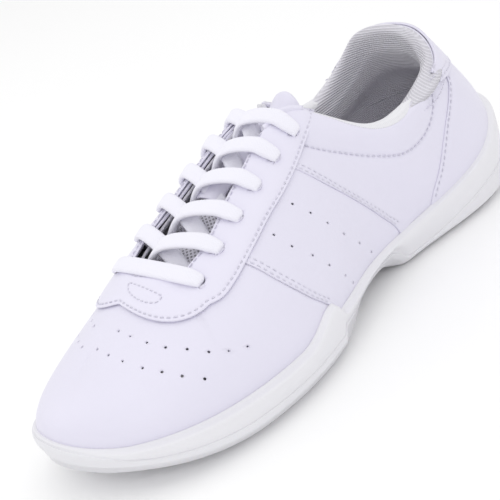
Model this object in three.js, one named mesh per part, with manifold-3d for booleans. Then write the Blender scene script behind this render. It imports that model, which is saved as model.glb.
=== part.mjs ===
// Low cheer shoe, left foot. Millimetres, +Z up, +X to the outer side of the foot,
// the toe at -Y and the heel at +Y. The ground is z = 0.
//
// The upper is one smooth surface P(s, v). s runs once round the foot (0 = back of the heel,
// 11 = tip of the toe, whole numbers are the stations below) and v climbs from the feather
// edge (0, where the upper meets the sole) to the ridge or the topline (1). Every sheet of
// the upper is a layer of that surface between two depths, cut to its pattern outline.

import * as THREE from 'three';
import { mergeVertices } from 'three/addons/utils/BufferGeometryUtils.js';
import Module from 'manifold-3d';

const wasm = await Module();
wasm.setup();

// ---- driving dimensions ------------------------------------------------------------------

const gap = 0.3;                    // clearance between neighbouring pieces
const layerGap = 0.4;               // clearance between two curved sheets
const overlayGap = 0.85;            // clearance under the stitched-on overlays
const sheet = 1.2;                  // thickness of the outer leather
const liningSheet = 1.0;            // thickness of the textile lining
const liningDepth = 2.8;            // from the outside of the leather to the lining
const collarPad = 4.5;              // extra depth taken by the collar foam
const outsoleThickness = 3.5;
const seatDrop = 3;                 // seat of the insole board below the feather edge
const boardThickness = 1.6;
const insoleThickness = 3.6;
const toeSpring = 11;               // lift of the sole under the toe
const archRise = 5;                 // lift of the sole under the waist
const heelBevel = 3.5;              // lift of the sole at the back of the heel

const flexY = -66;                  // toe flex hinge: a line along X at the ball of the foot
const flexZ = 18.3;
const flexLean = 30;                // lean of the flex zone's rear edge, degrees
const flexRange = 30;               // toe lift, degrees

const eyeletRows = 6;
const eyeletRadius = 2.6;
const liningHoleMargin = 1.4;       // the lining's holes are this much larger in radius
const eyeletTop = { y: 9, out: 14.3, in: -18.4 };
const eyeletLow = { y: -62.5, out: 19.5, in: -23.8 };
const laceWidth = 6.6;
const laceThickness = 2.4;

// feather: where the upper meets the sole; crown: top of the same section;
// rise: outward and upward pull at the feather; lean: sideways pull at the crown;
// sole: outset of the ground edge, height of the rim, outset of the rim
const stations = [
  { feather: [1, 125, 22], crown: [-1, 101, 83], rise: [5, 22], lean: [0, 6, -16], sole: [-1, 39, 4] },
  { feather: [21, 120, 22], crown: [15, 97, 82], rise: [5, 22], lean: [4, 6, -16], sole: [1, 38, 4] },
  { feather: [31, 100, 19], crown: [28, 90, 69], rise: [4, 16], lean: [3, 0, -11], sole: [2, 25, 4] },
  { feather: [30, 75, 18], crown: [28, 64, 62], rise: [3, 12], lean: [3, 0, -10], sole: [2, 20, 3] },
  { feather: [27, 46, 15], crown: [30, 36, 61], rise: [3, 16], lean: [5, 0, -14], sole: [-1, 17, 2.4] },
  { feather: [27, 14, 14], crown: [-2, 17, 91], rise: [5, 22], lean: [22, 0, 0], sole: [0, 16, 2.4] },
  { feather: [38, -12, 15], crown: [-3, -13, 79], rise: [5, 24], lean: [26, 0, 0], sole: [2, 19, 3] },
  { feather: [46, -47, 15], crown: [-6, -43, 66.5], rise: [5, 24], lean: [28, 0, 0], sole: [3, 16, 4] },
  { feather: [42, -83, 15], crown: [-7, -68, 56], rise: [5, 22], lean: [27, -2, -0.8], sole: [4, 16, 4] },
  { feather: [31, -109, 17], crown: [-8, -87, 49], rise: [5, 18], lean: [22, -8, -2.8], sole: [4, 17, 4] },
  { feather: [10, -128, 19], crown: [-9, -99, 44.5], rise: [4, 15], lean: [12, -12, -4.4], sole: [2, 22, 3] },
  { feather: [-14, -132, 20], crown: [-9, -105, 42], rise: [4, 14], lean: [0, -14, -5], sole: [2, 27, 3] },
  { feather: [-29, -123, 19], crown: [-9, -99, 44.5], rise: [4, 15], lean: [-10, -12, -4.4], sole: [2, 24, 3] },
  { feather: [-37, -104, 17], crown: [-8, -87, 49], rise: [5, 17], lean: [-17, -8, -2.8], sole: [3, 19, 4] },
  { feather: [-41, -79, 15], crown: [-7, -68, 56], rise: [5, 21], lean: [-22, -2, -0.8], sole: [3, 16, 4] },
  { feather: [-42, -51, 15], crown: [-6, -43, 66.5], rise: [5, 23], lean: [-24, 0, 0], sole: [3, 16, 4] },
  { feather: [-37, -22, 16], crown: [-3, -13, 79], rise: [4, 23], lean: [-22, 0, 0], sole: [1, 19, 4] },
  { feather: [-29, 7, 16], crown: [-2, 17, 91], rise: [4, 25], lean: [-20, 0, 0], sole: [-2, 20, 3] },
  { feather: [-27, 40, 16], crown: [-27, 37, 66], rise: [4, 16], lean: [-4, 0, -14], sole: [-2, 19, 3] },
  { feather: [-30, 72, 18], crown: [-28, 64, 61], rise: [3, 12], lean: [-3, 0, -10], sole: [1, 21, 3] },
  { feather: [-30, 99, 19], crown: [-27, 89, 70], rise: [4, 16], lean: [-4, 0, -11], sole: [1, 26, 4] },
  { feather: [-19, 120, 22], crown: [-17, 97, 83], rise: [5, 22], lean: [-4, 6, -16], sole: [0, 38, 4] },
];
const loop = stations.length;
const rowsUp = 5;
// sections of the sheets: two to a station, four where the throat meets the collar
const halfSections = Array.from({ length: 23 }, (_, i) => i / 2).flatMap((s) => (
  s >= 4 && s < 6 ? [s, s + 0.25] : [s]));
const sections = [...halfSections, ...halfSections.slice(1).reverse().slice(1).map((s) => loop - s), loop];
const middleSection = halfSections.length - 1;

// from the frame the stations are written in to one centred on the shoe
const frameShift = { x: -1.4, y: 3 };

// ---- small helpers -----------------------------------------------------------------------

const clamp = (value, low = 0, high = 1) => Math.min(Math.max(value, low), high);
const smooth = (value) => clamp(value) ** 2 * (3 - 2 * clamp(value));
const mix = (a, b, t) => a + (b - a) * t;
const radians = (degrees) => degrees * Math.PI / 180;
const vec = (a) => new THREE.Vector3(...a);

// uniform cubic B-spline round the closed loop of stations
function around(list, s) {
  const base = Math.floor(s);
  const f = s - base;
  const weights = [(1 - f) ** 3, 3 * f ** 3 - 6 * f ** 2 + 4, -3 * f ** 3 + 3 * f ** 2 + 3 * f + 1, f ** 3];
  const sum = list[0].map(() => 0);
  weights.forEach((weight, k) => {
    const row = list[(((base + k - 1) % loop) + loop) % loop];
    row.forEach((value, i) => { sum[i] += weight * value / 6; });
  });
  return sum;
}

const column = (name) => stations.map((station) => station[name]);
const columns = Object.fromEntries(
  ['feather', 'crown', 'rise', 'lean', 'sole'].map((name) => [name, column(name)]));

// outward direction in plan at station s
function outward(s) {
  const a = around(columns.feather, s + 0.01);
  const b = around(columns.feather, s - 0.01);
  return new THREE.Vector3(b[1] - a[1], a[0] - b[0], 0).normalize();
}

// the outside of the leather: a cubic Bezier from the feather edge to the crown
function upper(s, v) {
  const feather = vec(around(columns.feather, s));
  const crown = vec(around(columns.crown, s));
  const [out, up] = around(columns.rise, s);
  const low = feather.clone().addScaledVector(outward(s), out).add(new THREE.Vector3(0, 0, up));
  const high = crown.clone().add(vec(around(columns.lean, s)));
  return new THREE.CubicBezierCurve3(feather, low, high, crown).getPoint(v);
}

function upperNormal(s, v) {
  const step = 0.004;
  const alongS = upper(s + step, v).sub(upper(s - step, v));
  const alongV = upper(s, Math.min(v + step, 1)).sub(upper(s, Math.max(v - step, 0)));
  return alongV.cross(alongS).normalize();
}

const at = (s, v, depth) => upper(s, v).addScaledVector(upperNormal(s, v), -depth);

// height of the underside of the sole along the shoe
function groundHeight(y) {
  const toe = toeSpring * clamp((-76 - y) / 58) ** 1.7;
  const arch = archRise * smooth((y + 22) / 26) * (1 - smooth((y - 20) / 22));
  const heel = heelBevel * clamp((y - 108) / 22) ** 2;
  return toe + arch + heel;
}

// ---- geometry to solid and back ----------------------------------------------------------

function toSolid(geometry) {
  const bare = geometry.clone();
  ['normal', 'uv'].forEach((name) => bare.deleteAttribute(name));
  const merged = mergeVertices(bare, 1e-3);
  return new wasm.Manifold(new wasm.Mesh({
    numProp: 3,
    vertProperties: new Float32Array(merged.attributes.position.array),
    triVerts: new Uint32Array(merged.index.array),
  }));
}

function toGeometry(solid) {
  const mesh = solid.getMesh();
  const geometry = new THREE.BufferGeometry();
  geometry.setAttribute('position', new THREE.BufferAttribute(new Float32Array(mesh.vertProperties), 3));
  geometry.setIndex([...mesh.triVerts]);
  const flat = geometry.toNonIndexed();
  flat.computeVertexNormals();
  return flat;
}

// a closed solid from quads given as rows of points; degenerate quads drop out
function solidFromSheets(sheets) {
  const positions = [];
  const triangle = (a, b, c) => {
    const area = b.clone().sub(a).cross(c.clone().sub(a)).length();
    if (area > 1e-7) positions.push(...a, ...b, ...c);
  };
  sheets.forEach((rows) => {
    for (let i = 0; i < rows.length - 1; i += 1) {
      for (let j = 0; j < rows[i].length - 1; j += 1) {
        triangle(rows[i][j], rows[i + 1][j + 1], rows[i + 1][j]);
        triangle(rows[i][j], rows[i][j + 1], rows[i + 1][j + 1]);
      }
    }
  });
  const geometry = new THREE.BufferGeometry();
  geometry.setAttribute('position', new THREE.Float32BufferAttribute(positions, 3));
  return toSolid(geometry);
}

// outline in the side view (y, z), pushed through the shoe along X
function sideRegion(points, fromX = -80, toX = 80) {
  const shape = new THREE.Shape(points.map(([y, z]) => new THREE.Vector2(y, z)));
  const geometry = new THREE.ExtrudeGeometry(shape, { depth: toX - fromX, bevelEnabled: false });
  geometry.applyMatrix4(new THREE.Matrix4().set(0, 0, 1, fromX, 1, 0, 0, 0, 0, 1, 0, 0, 0, 0, 0, 1));
  return toSolid(geometry);
}

// outline in plan (x, y), pushed up along Z
function planRegion(points, fromZ = -20, toZ = 140) {
  const shape = new THREE.Shape(points.map(([x, y]) => new THREE.Vector2(x, y)));
  const geometry = new THREE.ExtrudeGeometry(shape, { depth: toZ - fromZ, bevelEnabled: false });
  geometry.translate(0, 0, fromZ);
  return toSolid(geometry);
}

const block = (low, high) => planRegion(
  [[low[0], low[1]], [high[0], low[1]], [high[0], high[1]], [low[0], high[1]]], low[2], high[2]);

// ---- layers of the upper -----------------------------------------------------------------

// a sheet of the whole upper between two depths; the two flanks are welded along the ridge
// from station 6 forward to the toe, and stay open round the ankle
function layer(outerDepth, innerDepth) {
  const depthOf = (depth, s, v) => (typeof depth === 'function' ? depth(s, v) : depth);
  const rows = (depth) => sections.map((section) => Array.from({ length: rowsUp + 1 }, (_, j) => {
    const s = section % loop;
    const v = j / rowsUp;
    return at(s, v, depthOf(depth, s, v));
  }));
  const outer = rows(outerDepth);
  const inner = rows(innerDepth);
  const last = sections.length - 1;
  const joined = sections.indexOf(6);
  [outer, inner].forEach((list) => {
    for (let i = joined; i <= middleSection; i += 1) {
      const ridge = list[i][rowsUp].clone().add(list[last - i][rowsUp]).multiplyScalar(0.5);
      list[i][rowsUp] = ridge;
      list[last - i][rowsUp] = ridge;
    }
  });
  const foot = outer.map((row, i) => [inner[i][0], row[0]]);
  const brim = outer.map((row, i) => [row[rowsUp], inner[i][rowsUp]]);
  return solidFromSheets([outer, inner.slice().reverse(), foot,
    brim.slice(0, joined + 1), brim.slice(last - joined)]);
}

// extra depth of the padded collar: grows over the upper half of the wall, thins a little at
// the topline, and fades out where the throat begins
const padAt = (s, v) => {
  const fromHeel = Math.min(s, loop - s);
  return collarPad * smooth((v - 0.5) / 0.22) * (1 - 0.45 * smooth((v - 0.85) / 0.15))
    * (1 - smooth((fromHeel - 4.3) / 0.9));
};

const overlayLayer = layer(-(overlayGap + sheet), -overlayGap);
const leatherLayer = layer(0, sheet);
const stiffLayer = layer(sheet + layerGap, liningDepth - layerGap);
const foamLayer = layer(sheet + 1.5 * layerGap, (s, v) => liningDepth - layerGap + 0.9 * padAt(s, v));
const liningLayer = layer(
  (s, v) => liningDepth + padAt(s, v), (s, v) => liningDepth + liningSheet + padAt(s, v));

// ---- pattern outlines --------------------------------------------------------------------

const far = 200;
// a side-view curve, as the region behind it (toward the heel)
const behind = (curve) => [...curve, [far, curve[curve.length - 1][1]], [far, curve[0][1]]];
const ahead = (curve) => [...curve, [-far, curve[curve.length - 1][1]], [-far, curve[0][1]]];
const shift = (curve, dy) => curve.map(([y, z]) => [y + dy, z]);

const leanLine = (degrees, height) => flexY - Math.tan(radians(degrees)) * (height - flexZ);
const flexRear = [[flexY, -30], [flexY, flexZ], [leanLine(flexLean, 120), 120]];
const flexFront = [[flexY, -30], [flexY, flexZ],
  [leanLine(flexLean + flexRange + 1, 70), 70], [leanLine(flexLean + flexRange + 1, 70), 120]];
const vampSeam = [[-20, -10], [-23, 18], [-34.5, 33], [-41.5, 43.5], [-45.5, 51.5], [-54, 64],
  [-70, 90], [-80, 120]];
const quarterSeam = [[44, -10], [36, 17.5], [17.5, 43.5], [-0.6, 66.3], [-8, 76], [-20, 95], [-30, 120]];
const eyestayEdge = [[34, 120], [26, 78], [-0.6, 66.3], [-23.8, 59], [-45.5, 51.5], [-64, 45.7],
  [-73, 43.8], [-79, 44.6], [-82.3, 47.6], [-83.2, 52], [-83.5, 120]];
const foxingEdge = [[56, -10], [57.5, 18.5], [66, 31], [76, 44.7], [86, 53], [90, 58.6], [91.5, 62.5]];
const patchBottom = 63;
const patchFront = [[84, patchBottom], [82, 72], [78, 100]];

const halfGap = gap / 2;
const behindFlex = sideRegion(behind(shift(flexRear, 2 * halfGap)));
const aheadFlex = sideRegion(ahead(shift(flexFront, -2 * halfGap)));
const aheadRearLine = sideRegion(ahead(flexRear));
const behindFrontLine = sideRegion(behind(flexFront));
const aboveHinge = block([-far, -far, flexZ + 0.4], [far, far, far]);
const aheadVampSeam = sideRegion(ahead(shift(vampSeam, -halfGap)));
const behindVampSeam = sideRegion(behind(shift(vampSeam, halfGap)));
const aheadQuarterSeam = sideRegion(ahead(shift(quarterSeam, -halfGap)));
const behindQuarterSeam = sideRegion(behind(shift(quarterSeam, halfGap)));
const lateralHalf = block([halfGap, -far, -far], [far, far, far]);
const medialHalf = block([-far, -far, -far], [-halfGap, far, far]);

// rows of eyelets, counted up from the toe end
const eyelets = Array.from({ length: eyeletRows }, (_, row) => {
  const t = row / (eyeletRows - 1);
  const y = mix(eyeletLow.y, eyeletTop.y, t);
  return { y, out: mix(eyeletLow.out, eyeletTop.out, t), in: mix(eyeletLow.in, eyeletTop.in, t) };
});

// the point of the upper above a place in plan, found by bisection on both parameters
function onUpper(x, y) {
  const side = x > -3 ? 1 : -1;
  let v = 0.8;
  let s = side > 0 ? 7 : 15;
  for (let pass = 0; pass < 14; pass += 1) {
    let [low, high] = [4.6, 11];
    for (let k = 0; k < 24; k += 1) {
      s = (low + high) / 2;
      if (upper(side > 0 ? s : loop - s, v).y > y) low = s; else high = s;
    }
    s = side > 0 ? s : loop - s;
    [low, high] = [0.2, 1];
    for (let k = 0; k < 24; k += 1) {
      v = (low + high) / 2;
      if ((upper(s, v).x - x) * side > 0) low = v; else high = v;
    }
  }
  return { s, v };
}

// throat of the eyestay in plan: 7 mm inside the eyelets, rounded at the toe end
const throatInset = 7;
const throatFront = -70.5;
const throatSide = (which, sign) => [
  [eyelets[5][which] - sign * throatInset + sign * 3, 26],
  [eyelets[5][which] - sign * throatInset, eyelets[5].y],
  [eyelets[0][which] - sign * throatInset, eyelets[0].y],
];
const throatOutline = [
  ...throatSide('out', 1),
  [10, throatFront + 3], [5, throatFront + 0.5], [-2, throatFront],
  [-9, throatFront + 0.5], [-14, throatFront + 3],
  ...throatSide('in', -1).reverse(), [-24, 60], [20, 60],
];
const throat = planRegion(throatOutline, 40, 140);

// round holes for the lace, square to the upper
function holeAt(x, y, radius) {
  const { s, v } = onUpper(x, y);
  const hole = new THREE.CylinderGeometry(radius, radius, 24, 7);
  const turn = new THREE.Quaternion().setFromUnitVectors(new THREE.Vector3(0, 1, 0), upperNormal(s, v));
  hole.applyQuaternion(turn);
  hole.translate(...upper(s, v));
  return toSolid(hole);
}
const punch = (radius) => eyelets
  .flatMap((row) => [holeAt(row.out, row.y, radius), holeAt(row.in, row.y, radius)])
  .reduce((all, hole) => all.add(hole));
const holes = punch(eyeletRadius);
const wideHoles = punch(eyeletRadius + liningHoleMargin);

// ---- tube along a path with a changing flat section --------------------------------------

// stops: { place, wide, size: [width, thickness] }; wide says which way the broad face lies
function tube(stops, sides = 8) {
  const rings = stops.map(({ place, wide, size }, i) => {
    const before = stops[Math.max(i - 1, 0)].place;
    const after = stops[Math.min(i + 1, stops.length - 1)].place;
    const tangent = after.clone().sub(before).normalize();
    const thick = tangent.clone().cross(wide).normalize();
    const broad = thick.clone().cross(tangent);
    return Array.from({ length: sides + 1 }, (_, k) => {
      const a = 2 * Math.PI * ((k % sides) + 0.5) / sides;
      return place.clone().addScaledVector(broad, Math.cos(a) * size[0] / 2)
        .addScaledVector(thick, Math.sin(a) * size[1] / 2);
    });
  });
  const cap = (ring, centre) => [ring, ring.map(() => centre)];
  const first = cap(rings[0], stops[0].place).reverse();
  const last = cap(rings[rings.length - 1], stops[stops.length - 1].place);
  return solidFromSheets([first, rings, last]);
}

// smooth run of stops through a few chosen ones
function resample(stops, perSpan) {
  const curve = new THREE.CatmullRomCurve3(stops.map((stop) => stop.place), false, 'centripetal');
  const count = (stops.length - 1) * perSpan;
  return Array.from({ length: count + 1 }, (_, i) => {
    const whole = Math.min(Math.floor(i / perSpan), stops.length - 2);
    const t = i / perSpan - whole;
    const [from, to] = [stops[whole], stops[whole + 1]];
    return {
      place: curve.getPoint(i / count),
      wide: from.wide.clone().lerp(to.wide, t).normalize(),
      size: [mix(from.size[0], to.size[0], t), mix(from.size[1], to.size[1], t)],
    };
  });
}

// ---- topline binding ---------------------------------------------------------------------

const bindingEnd = 4.8;             // the binding runs out at this station, beside the tongue
const bindingHeight = 4;
function binding(grow) {
  const steps = 36;
  return tube(Array.from({ length: steps + 1 }, (_, i) => {
    const s = mix(bindingEnd, -bindingEnd, i / steps);
    const depth = (liningDepth + liningSheet + padAt((s + loop) % loop, 1)) / 2;
    const climb = upper(s, 1).sub(upper(s, 0.97)).normalize();
    const taper = 1 - 0.35 * smooth((Math.abs(s) - 4.1) / 0.6);
    return {
      place: at(s, 1, depth).addScaledVector(climb, -0.4),
      wide: upperNormal(s, 1),
      size: [taper * (2 * depth + 1.4 + 2 * grow), taper * (bindingHeight + 2 * grow)],
    };
  }));
}
const toplineBinding = binding(0);
const bindingChannel = binding(gap);

// ---- sole --------------------------------------------------------------------------------

// rim of the cup sole, with a bumper beside the little-toe joint and one beside the big-toe joint
const bumper = (s, centre, width) => Math.exp(-(((s - centre) / width) ** 2));
const rimHeight = (s) => Math.max(
  around(columns.sole, s)[1] + 5 * bumper(s, 6.35, 0.35) + 3 * bumper(s, 15.6, 0.4),
  around(columns.feather, s)[2] + 1.5);

// the place on the upper at a given height, as v
function climbTo(s, height) {
  let [low, high] = [0, 1];
  for (let k = 0; k < 24; k += 1) {
    const middle = (low + high) / 2;
    if (upper(s, middle).z < height) low = middle; else high = middle;
  }
  return low;
}

const featherAt = (s, outset, height) => {
  const point = vec(around(columns.feather, s)).addScaledVector(outward(s), outset);
  point.z = typeof height === 'function' ? height(point) : height;
  return point;
};
const featherHeight = (s) => around(columns.feather, s)[2];

// a solid whose side walls are the given rings (bottom edge first) and whose bottom and top
// are ruled across the shoe; heightBelow shapes the underside
function soleSolid(rings, heightBelow) {
  const across = 4;
  const last = sections.length - 1;
  const walls = rings.map((ring) => sections.map((s) => ring(s % loop)));
  const ladder = (wall, height) => Array.from({ length: middleSection + 1 }, (_, i) => (
    Array.from({ length: across + 1 }, (__, k) => {
      const point = wall[i].clone().lerp(wall[last - i], k / across);
      if (height && k > 0 && k < across) point.z = height(point);
      return point;
    })));
  const bottom = ladder(walls[0], heightBelow).reverse();
  const top = ladder(walls[walls.length - 1]);
  const sides = sections.map((_, i) => walls.map((wall) => wall[i]));
  return solidFromSheets([bottom, top, sides]);
}

const soleOutset = (s) => around(columns.sole, s)[0];
const rimOutset = (s) => around(columns.sole, s)[2];
const groundOf = (lift) => (point) => groundHeight(point.y) + lift;
const lipGap = 0.45;

const outsole = soleSolid([
  (s) => featherAt(s, soleOutset(s), groundOf(0)),
  (s) => featherAt(s, soleOutset(s) + 1.2, groundOf(1.6)),
  (s) => featherAt(s, soleOutset(s) + 1.2, groundOf(outsoleThickness)),
], groundOf(0));

function midsoleSolid(grow) {
  const lip = (s) => climbTo(s, rimHeight(s) + grow);
  return soleSolid([
    (s) => featherAt(s, soleOutset(s) + 1 + grow, groundOf(outsoleThickness + gap)),
    (s) => featherAt(s, mix(soleOutset(s), rimOutset(s), 0.6) + 1.4 + grow,
      (point) => mix(groundHeight(point.y) + outsoleThickness, rimHeight(s), 0.5)),
    (s) => featherAt(s, rimOutset(s) + 0.6 + grow, rimHeight(s) - 1.2),
    (s) => at(s, lip(s), -1.8 - grow),
    (s) => at(s, lip(s), grow - lipGap),
    (s) => at(s, lip(s) / 2, grow - lipGap),
    (s) => at(s, 0, grow - lipGap),
    (s) => featherAt(s, lipGap - grow, featherHeight(s) - seatDrop + grow),
  ]);
}
const midsole = midsoleSolid(0);
const midsoleRoom = midsoleSolid(0.4);

const slab = (outset, low, high) => soleSolid([
  (s) => featherAt(s, outset, featherHeight(s) + low),
  (s) => featherAt(s, outset, featherHeight(s) + high),
]);
const board = slab(-0.6, gap - seatDrop, gap + boardThickness - seatDrop);
const insoleBase = 2 * gap + boardThickness - seatDrop;
const insole = slab(-liningDepth - liningSheet - 0.8, insoleBase, insoleBase + insoleThickness);

// ---- tongue ------------------------------------------------------------------------------

const tongueFoldY = 12;             // the free top of the tongue folds along this line
const tongueTip = 26;
const tongueRoot = -73;
const tongueCentre = (y) => mix(-1.3, -4.1, (9 - y) / 83);
const tongueHalf = (y) => mix(12.4, 21, clamp((-4 - y) / 44)) - 4.4 * smooth((y - 8) / 10);
const instepSlope = 0.41;
// the instep falls away to each side as a parabola that tightens toward the ankle
const instep = (x, y, rise, curl) => {
  const away = x - tongueCentre(y);
  const normal = new THREE.Vector3(2 * curl * away, -instepSlope, 1).normalize();
  const place = new THREE.Vector3(x, y, 84.3 + instepSlope * y - curl * away * away);
  return place.addScaledVector(normal, rise);
};
const tongueCurl = (y) => 0.0025 + 0.047 * Math.exp(Math.min(y, 9) / 42);
// the tongue dips under the front of the collar and rises again at its tip
const tongueDepth = (y) => 8 + 6.5 * Math.exp(-(((y - 20) / 5.4) ** 2));

function tonguePoint(x, y, depth) {
  const face = (a, b) => instep(a, b, 0, tongueCurl(b)).sub(new THREE.Vector3(0, 0, 1.08 * tongueDepth(b)));
  const step = 0.2;
  const alongX = face(x + step, y).sub(face(x - step, y));
  const alongY = face(x, y + step).sub(face(x, y - step));
  return face(x, y).addScaledVector(alongX.cross(alongY).normalize(), -depth);
}

function tongueSheet(fromY, toY, outer, inner, halfWidth = tongueHalf) {
  const steps = Math.max(2, Math.round((toY - fromY) / 10));
  const across = 8;
  const rows = (depth) => Array.from({ length: steps + 1 }, (_, i) => {
    const y = mix(fromY, toY, i / steps);
    return Array.from({ length: across + 1 }, (__, k) => (
      tonguePoint(tongueCentre(y) + mix(-1, 1, k / across) * halfWidth(y), y, depth)));
  });
  const top = rows(outer);
  const under = rows(inner);
  const edge = (a, b) => a.map((point, i) => [point, b[i]]);
  return solidFromSheets([
    top, under.slice().reverse(),
    edge(under.map((row) => row[0]), top.map((row) => row[0])),
    edge(top.map((row) => row[across]), under.map((row) => row[across])),
    edge(top[0], under[0]), edge(under[steps], top[steps]),
  ]);
}

const tongueLayers = { face: [0, 1.1], foam: [1.5, 4.3], lining: [4.7, 5.5] };

// ---- lace --------------------------------------------------------------------------------

const alongShoe = new THREE.Vector3(0, 1, instepSlope).normalize();
const broad = [laceWidth, laceThickness];
const pinched = [3, 2.4];
const aboveEyestay = overlayGap + sheet + 2.2;
const belowLining = liningDepth + liningSheet + 2;
const pitch = (eyeletTop.y - eyeletLow.y) / (eyeletRows - 1);
const laceCurl = (y) => 0.0365 * Math.exp(y / 50);

function laceStrand(firstSide) {
  const stops = [];
  let side = firstSide;
  const add = (place, size = broad, wide = alongShoe) => stops.push({ place, size, wide });
  const sign = () => (side === 'out' ? 1 : -1);
  const edgeX = (row) => eyelets[row][side] - sign() * (throatInset + 1);
  const onInstep = (x, y, rise) => instep(x, y, rise, laceCurl(y));
  add(onInstep(edgeX(0), eyelets[0].y, aboveEyestay + 0.4));
  eyelets.forEach((row, k) => {
    const { s, v } = onUpper(row[side], row.y);
    const nearHole = onUpper(row[side] - sign() * 3, row.y);
    add(at(nearHole.s, nearHole.v, -aboveEyestay));
    add(at(s, v, -1), pinched);
    add(at(s, v, 3), pinched);
    if (k === eyeletRows - 1) {
      add(at(s, v - 0.06, belowLining + 0.3), [4.6, 2.4]);
      return;
    }
    add(at(nearHole.s, nearHole.v, belowLining), [4.6, 2.4]);
    add(onInstep(edgeX(k) - sign() * 1, row.y + 0.12 * pitch, -5.4));
    const topmost = side === 'in';
    add(onInstep(tongueCentre(row.y), row.y + 0.54 * pitch, topmost ? 1.2 : -2.4));
    side = side === 'out' ? 'in' : 'out';
    add(onInstep(edgeX(k + 1), row.y + 0.96 * pitch, aboveEyestay + 0.4));
  });
  // the free end is tucked away: down the side wall, then forward along the footbed
  const tuck = [[5.5, 0.62], [5.45, 0.5], [5.5, 0.41], [5.75, 0.34], [6.1, 0.31], [6.5, 0.3],
    [6.8, 0.29], [7.1, 0.26], [7.2, 0.2], [7.1, 0.15], [6.8, 0.13], [6.5, 0.13], [6.1, 0.13], [5.8, 0.13]];
  tuck.forEach(([s, v]) => {
    const place = side === 'out' ? s : loop - s;
    const upward = upper(place, v + 0.05).sub(upper(place, v)).normalize();
    const turned = clamp((0.62 - v) / 0.25);
    add(at(place, v, belowLining + 1.1), broad, alongShoe.clone().lerp(upward, turned).normalize());
  });
  return stops;
}
const strandOut = laceStrand('out');
const strandIn = laceStrand('in');
const laceStops = resample([...strandOut.slice().reverse(), ...strandIn], 2);
const lace = tube(laceStops, 6);

// a moulded tip at each end of the lace
function laceTip(end, next) {
  const tip = new THREE.LatheGeometry([[0, 0], [1.5, 0.2], [1.7, 1], [1.7, 14.6], [1.4, 15.6], [0, 16]]
    .map(([r, h]) => new THREE.Vector2(r, h)), 10);
  tip.applyQuaternion(new THREE.Quaternion().setFromUnitVectors(
    new THREE.Vector3(0, 1, 0), end.clone().sub(next).normalize()));
  const start = end.clone().addScaledVector(end.clone().sub(next).normalize(), gap);
  tip.translate(...start);
  return toSolid(tip);
}
const lastStop = laceStops.length - 1;
const laceTips = {
  lateral: laceTip(laceStops[0].place, laceStops[1].place),
  medial: laceTip(laceStops[lastStop].place, laceStops[lastStop - 1].place),
};

// a loop of leather across the tongue that keeps it centred under the lace
const keeper = { y: -24, halfLength: 5, halfWidth: 5.5, thickness: 1.4 };
const laceKeeper = tongueSheet(keeper.y - keeper.halfLength, keeper.y + keeper.halfLength,
  -gap - keeper.thickness, -gap, () => keeper.halfWidth);

// ---- heel insert -------------------------------------------------------------------------

const heelInsert = { x: 0, y: 84, halfWidth: 19, halfLength: 25, depth: 2 };
function oval(grow, low, high) {
  const disc = new THREE.CylinderGeometry(1, 1, high - low, 32);
  disc.rotateX(Math.PI / 2);
  disc.scale(heelInsert.halfWidth + grow, heelInsert.halfLength + grow, 1);
  disc.translate(heelInsert.x, heelInsert.y, (low + high) / 2);
  return toSolid(disc);
}
const heelPod = oval(-gap, 0.4, heelInsert.depth - gap);
const outsoleCut = outsole.subtract(oval(0, -1, heelInsert.depth));

// ---- pieces ------------------------------------------------------------------------------

// the largest body of a cut, without trimmed-off slivers
const mainBody = (solid) => solid.decompose().sort((a, b) => b.volume() - a.volume())[0];

const finishes = {
  leather: { color: 0xe9e6f4, roughness: 0.42, metalness: 0 },
  textile: { color: 0xdcd9e6, roughness: 0.85, metalness: 0 },
  rubber: { color: 0xebe9f2, roughness: 0.55, metalness: 0 },
  foam: { color: 0xf2f0ea, roughness: 0.9, metalness: 0 },
  board: { color: 0xcfc9bd, roughness: 0.9, metalness: 0 },
  lace: { color: 0xf1eff9, roughness: 0.8, metalness: 0 },
  tip: { color: 0xf4f3fa, roughness: 0.25, metalness: 0 },
};

const shoe = new THREE.Group();
function piece(name, finish, solid) {
  const material = new THREE.MeshStandardMaterial(finishes[finish]);
  const mesh = new THREE.Mesh(toGeometry(mainBody(solid)), material);
  mesh.name = name;
  shoe.add(mesh);
}

const soleFront = block([-far, -far, -far], [far, flexY - halfGap, far]);
const soleRear = block([-far, flexY + halfGap, -far], [far, far, far]);
[['outsole', 'rubber', outsoleCut], ['midsole', 'rubber', midsole],
  ['insole_board', 'board', board], ['insole', 'foam', insole]].forEach(([name, finish, solid]) => {
  piece(`${name}_front`, finish, solid.intersect(soleFront));
  piece(`${name}_rear`, finish, solid.intersect(soleRear));
});
piece('heel_insert', 'rubber', heelPod);

const leather = leatherLayer.subtract(throat).subtract(holes).subtract(bindingChannel);
const lining = liningLayer.subtract(throat).subtract(wideHoles).subtract(bindingChannel);
const wedge = aheadRearLine.intersect(behindFrontLine).intersect(aboveHinge);

piece('vamp_toe', 'leather', leather.intersect(aheadFlex));
piece('vamp_flex', 'leather', leather.intersect(wedge));
piece('vamp_rear', 'leather', leather.intersect(behindFlex).intersect(aheadVampSeam));
[['lateral', lateralHalf], ['medial', medialHalf]].forEach(([side, half]) => {
  const flank = leather.intersect(half).intersect(behindVampSeam);
  piece(`mid_panel_${side}`, 'leather', flank.intersect(aheadQuarterSeam));
  piece(`quarter_${side}`, 'leather', flank.intersect(behindQuarterSeam));
});
piece('toe_puff', 'board', stiffLayer.intersect(aheadFlex));
piece('vamp_lining_toe', 'textile', lining.intersect(aheadFlex));
piece('vamp_lining_flex', 'textile', lining.intersect(wedge));

piece('eyestay', 'leather', overlayLayer.intersect(sideRegion(eyestayEdge)).subtract(throat).subtract(holes)
  .subtract(bindingChannel));

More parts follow.
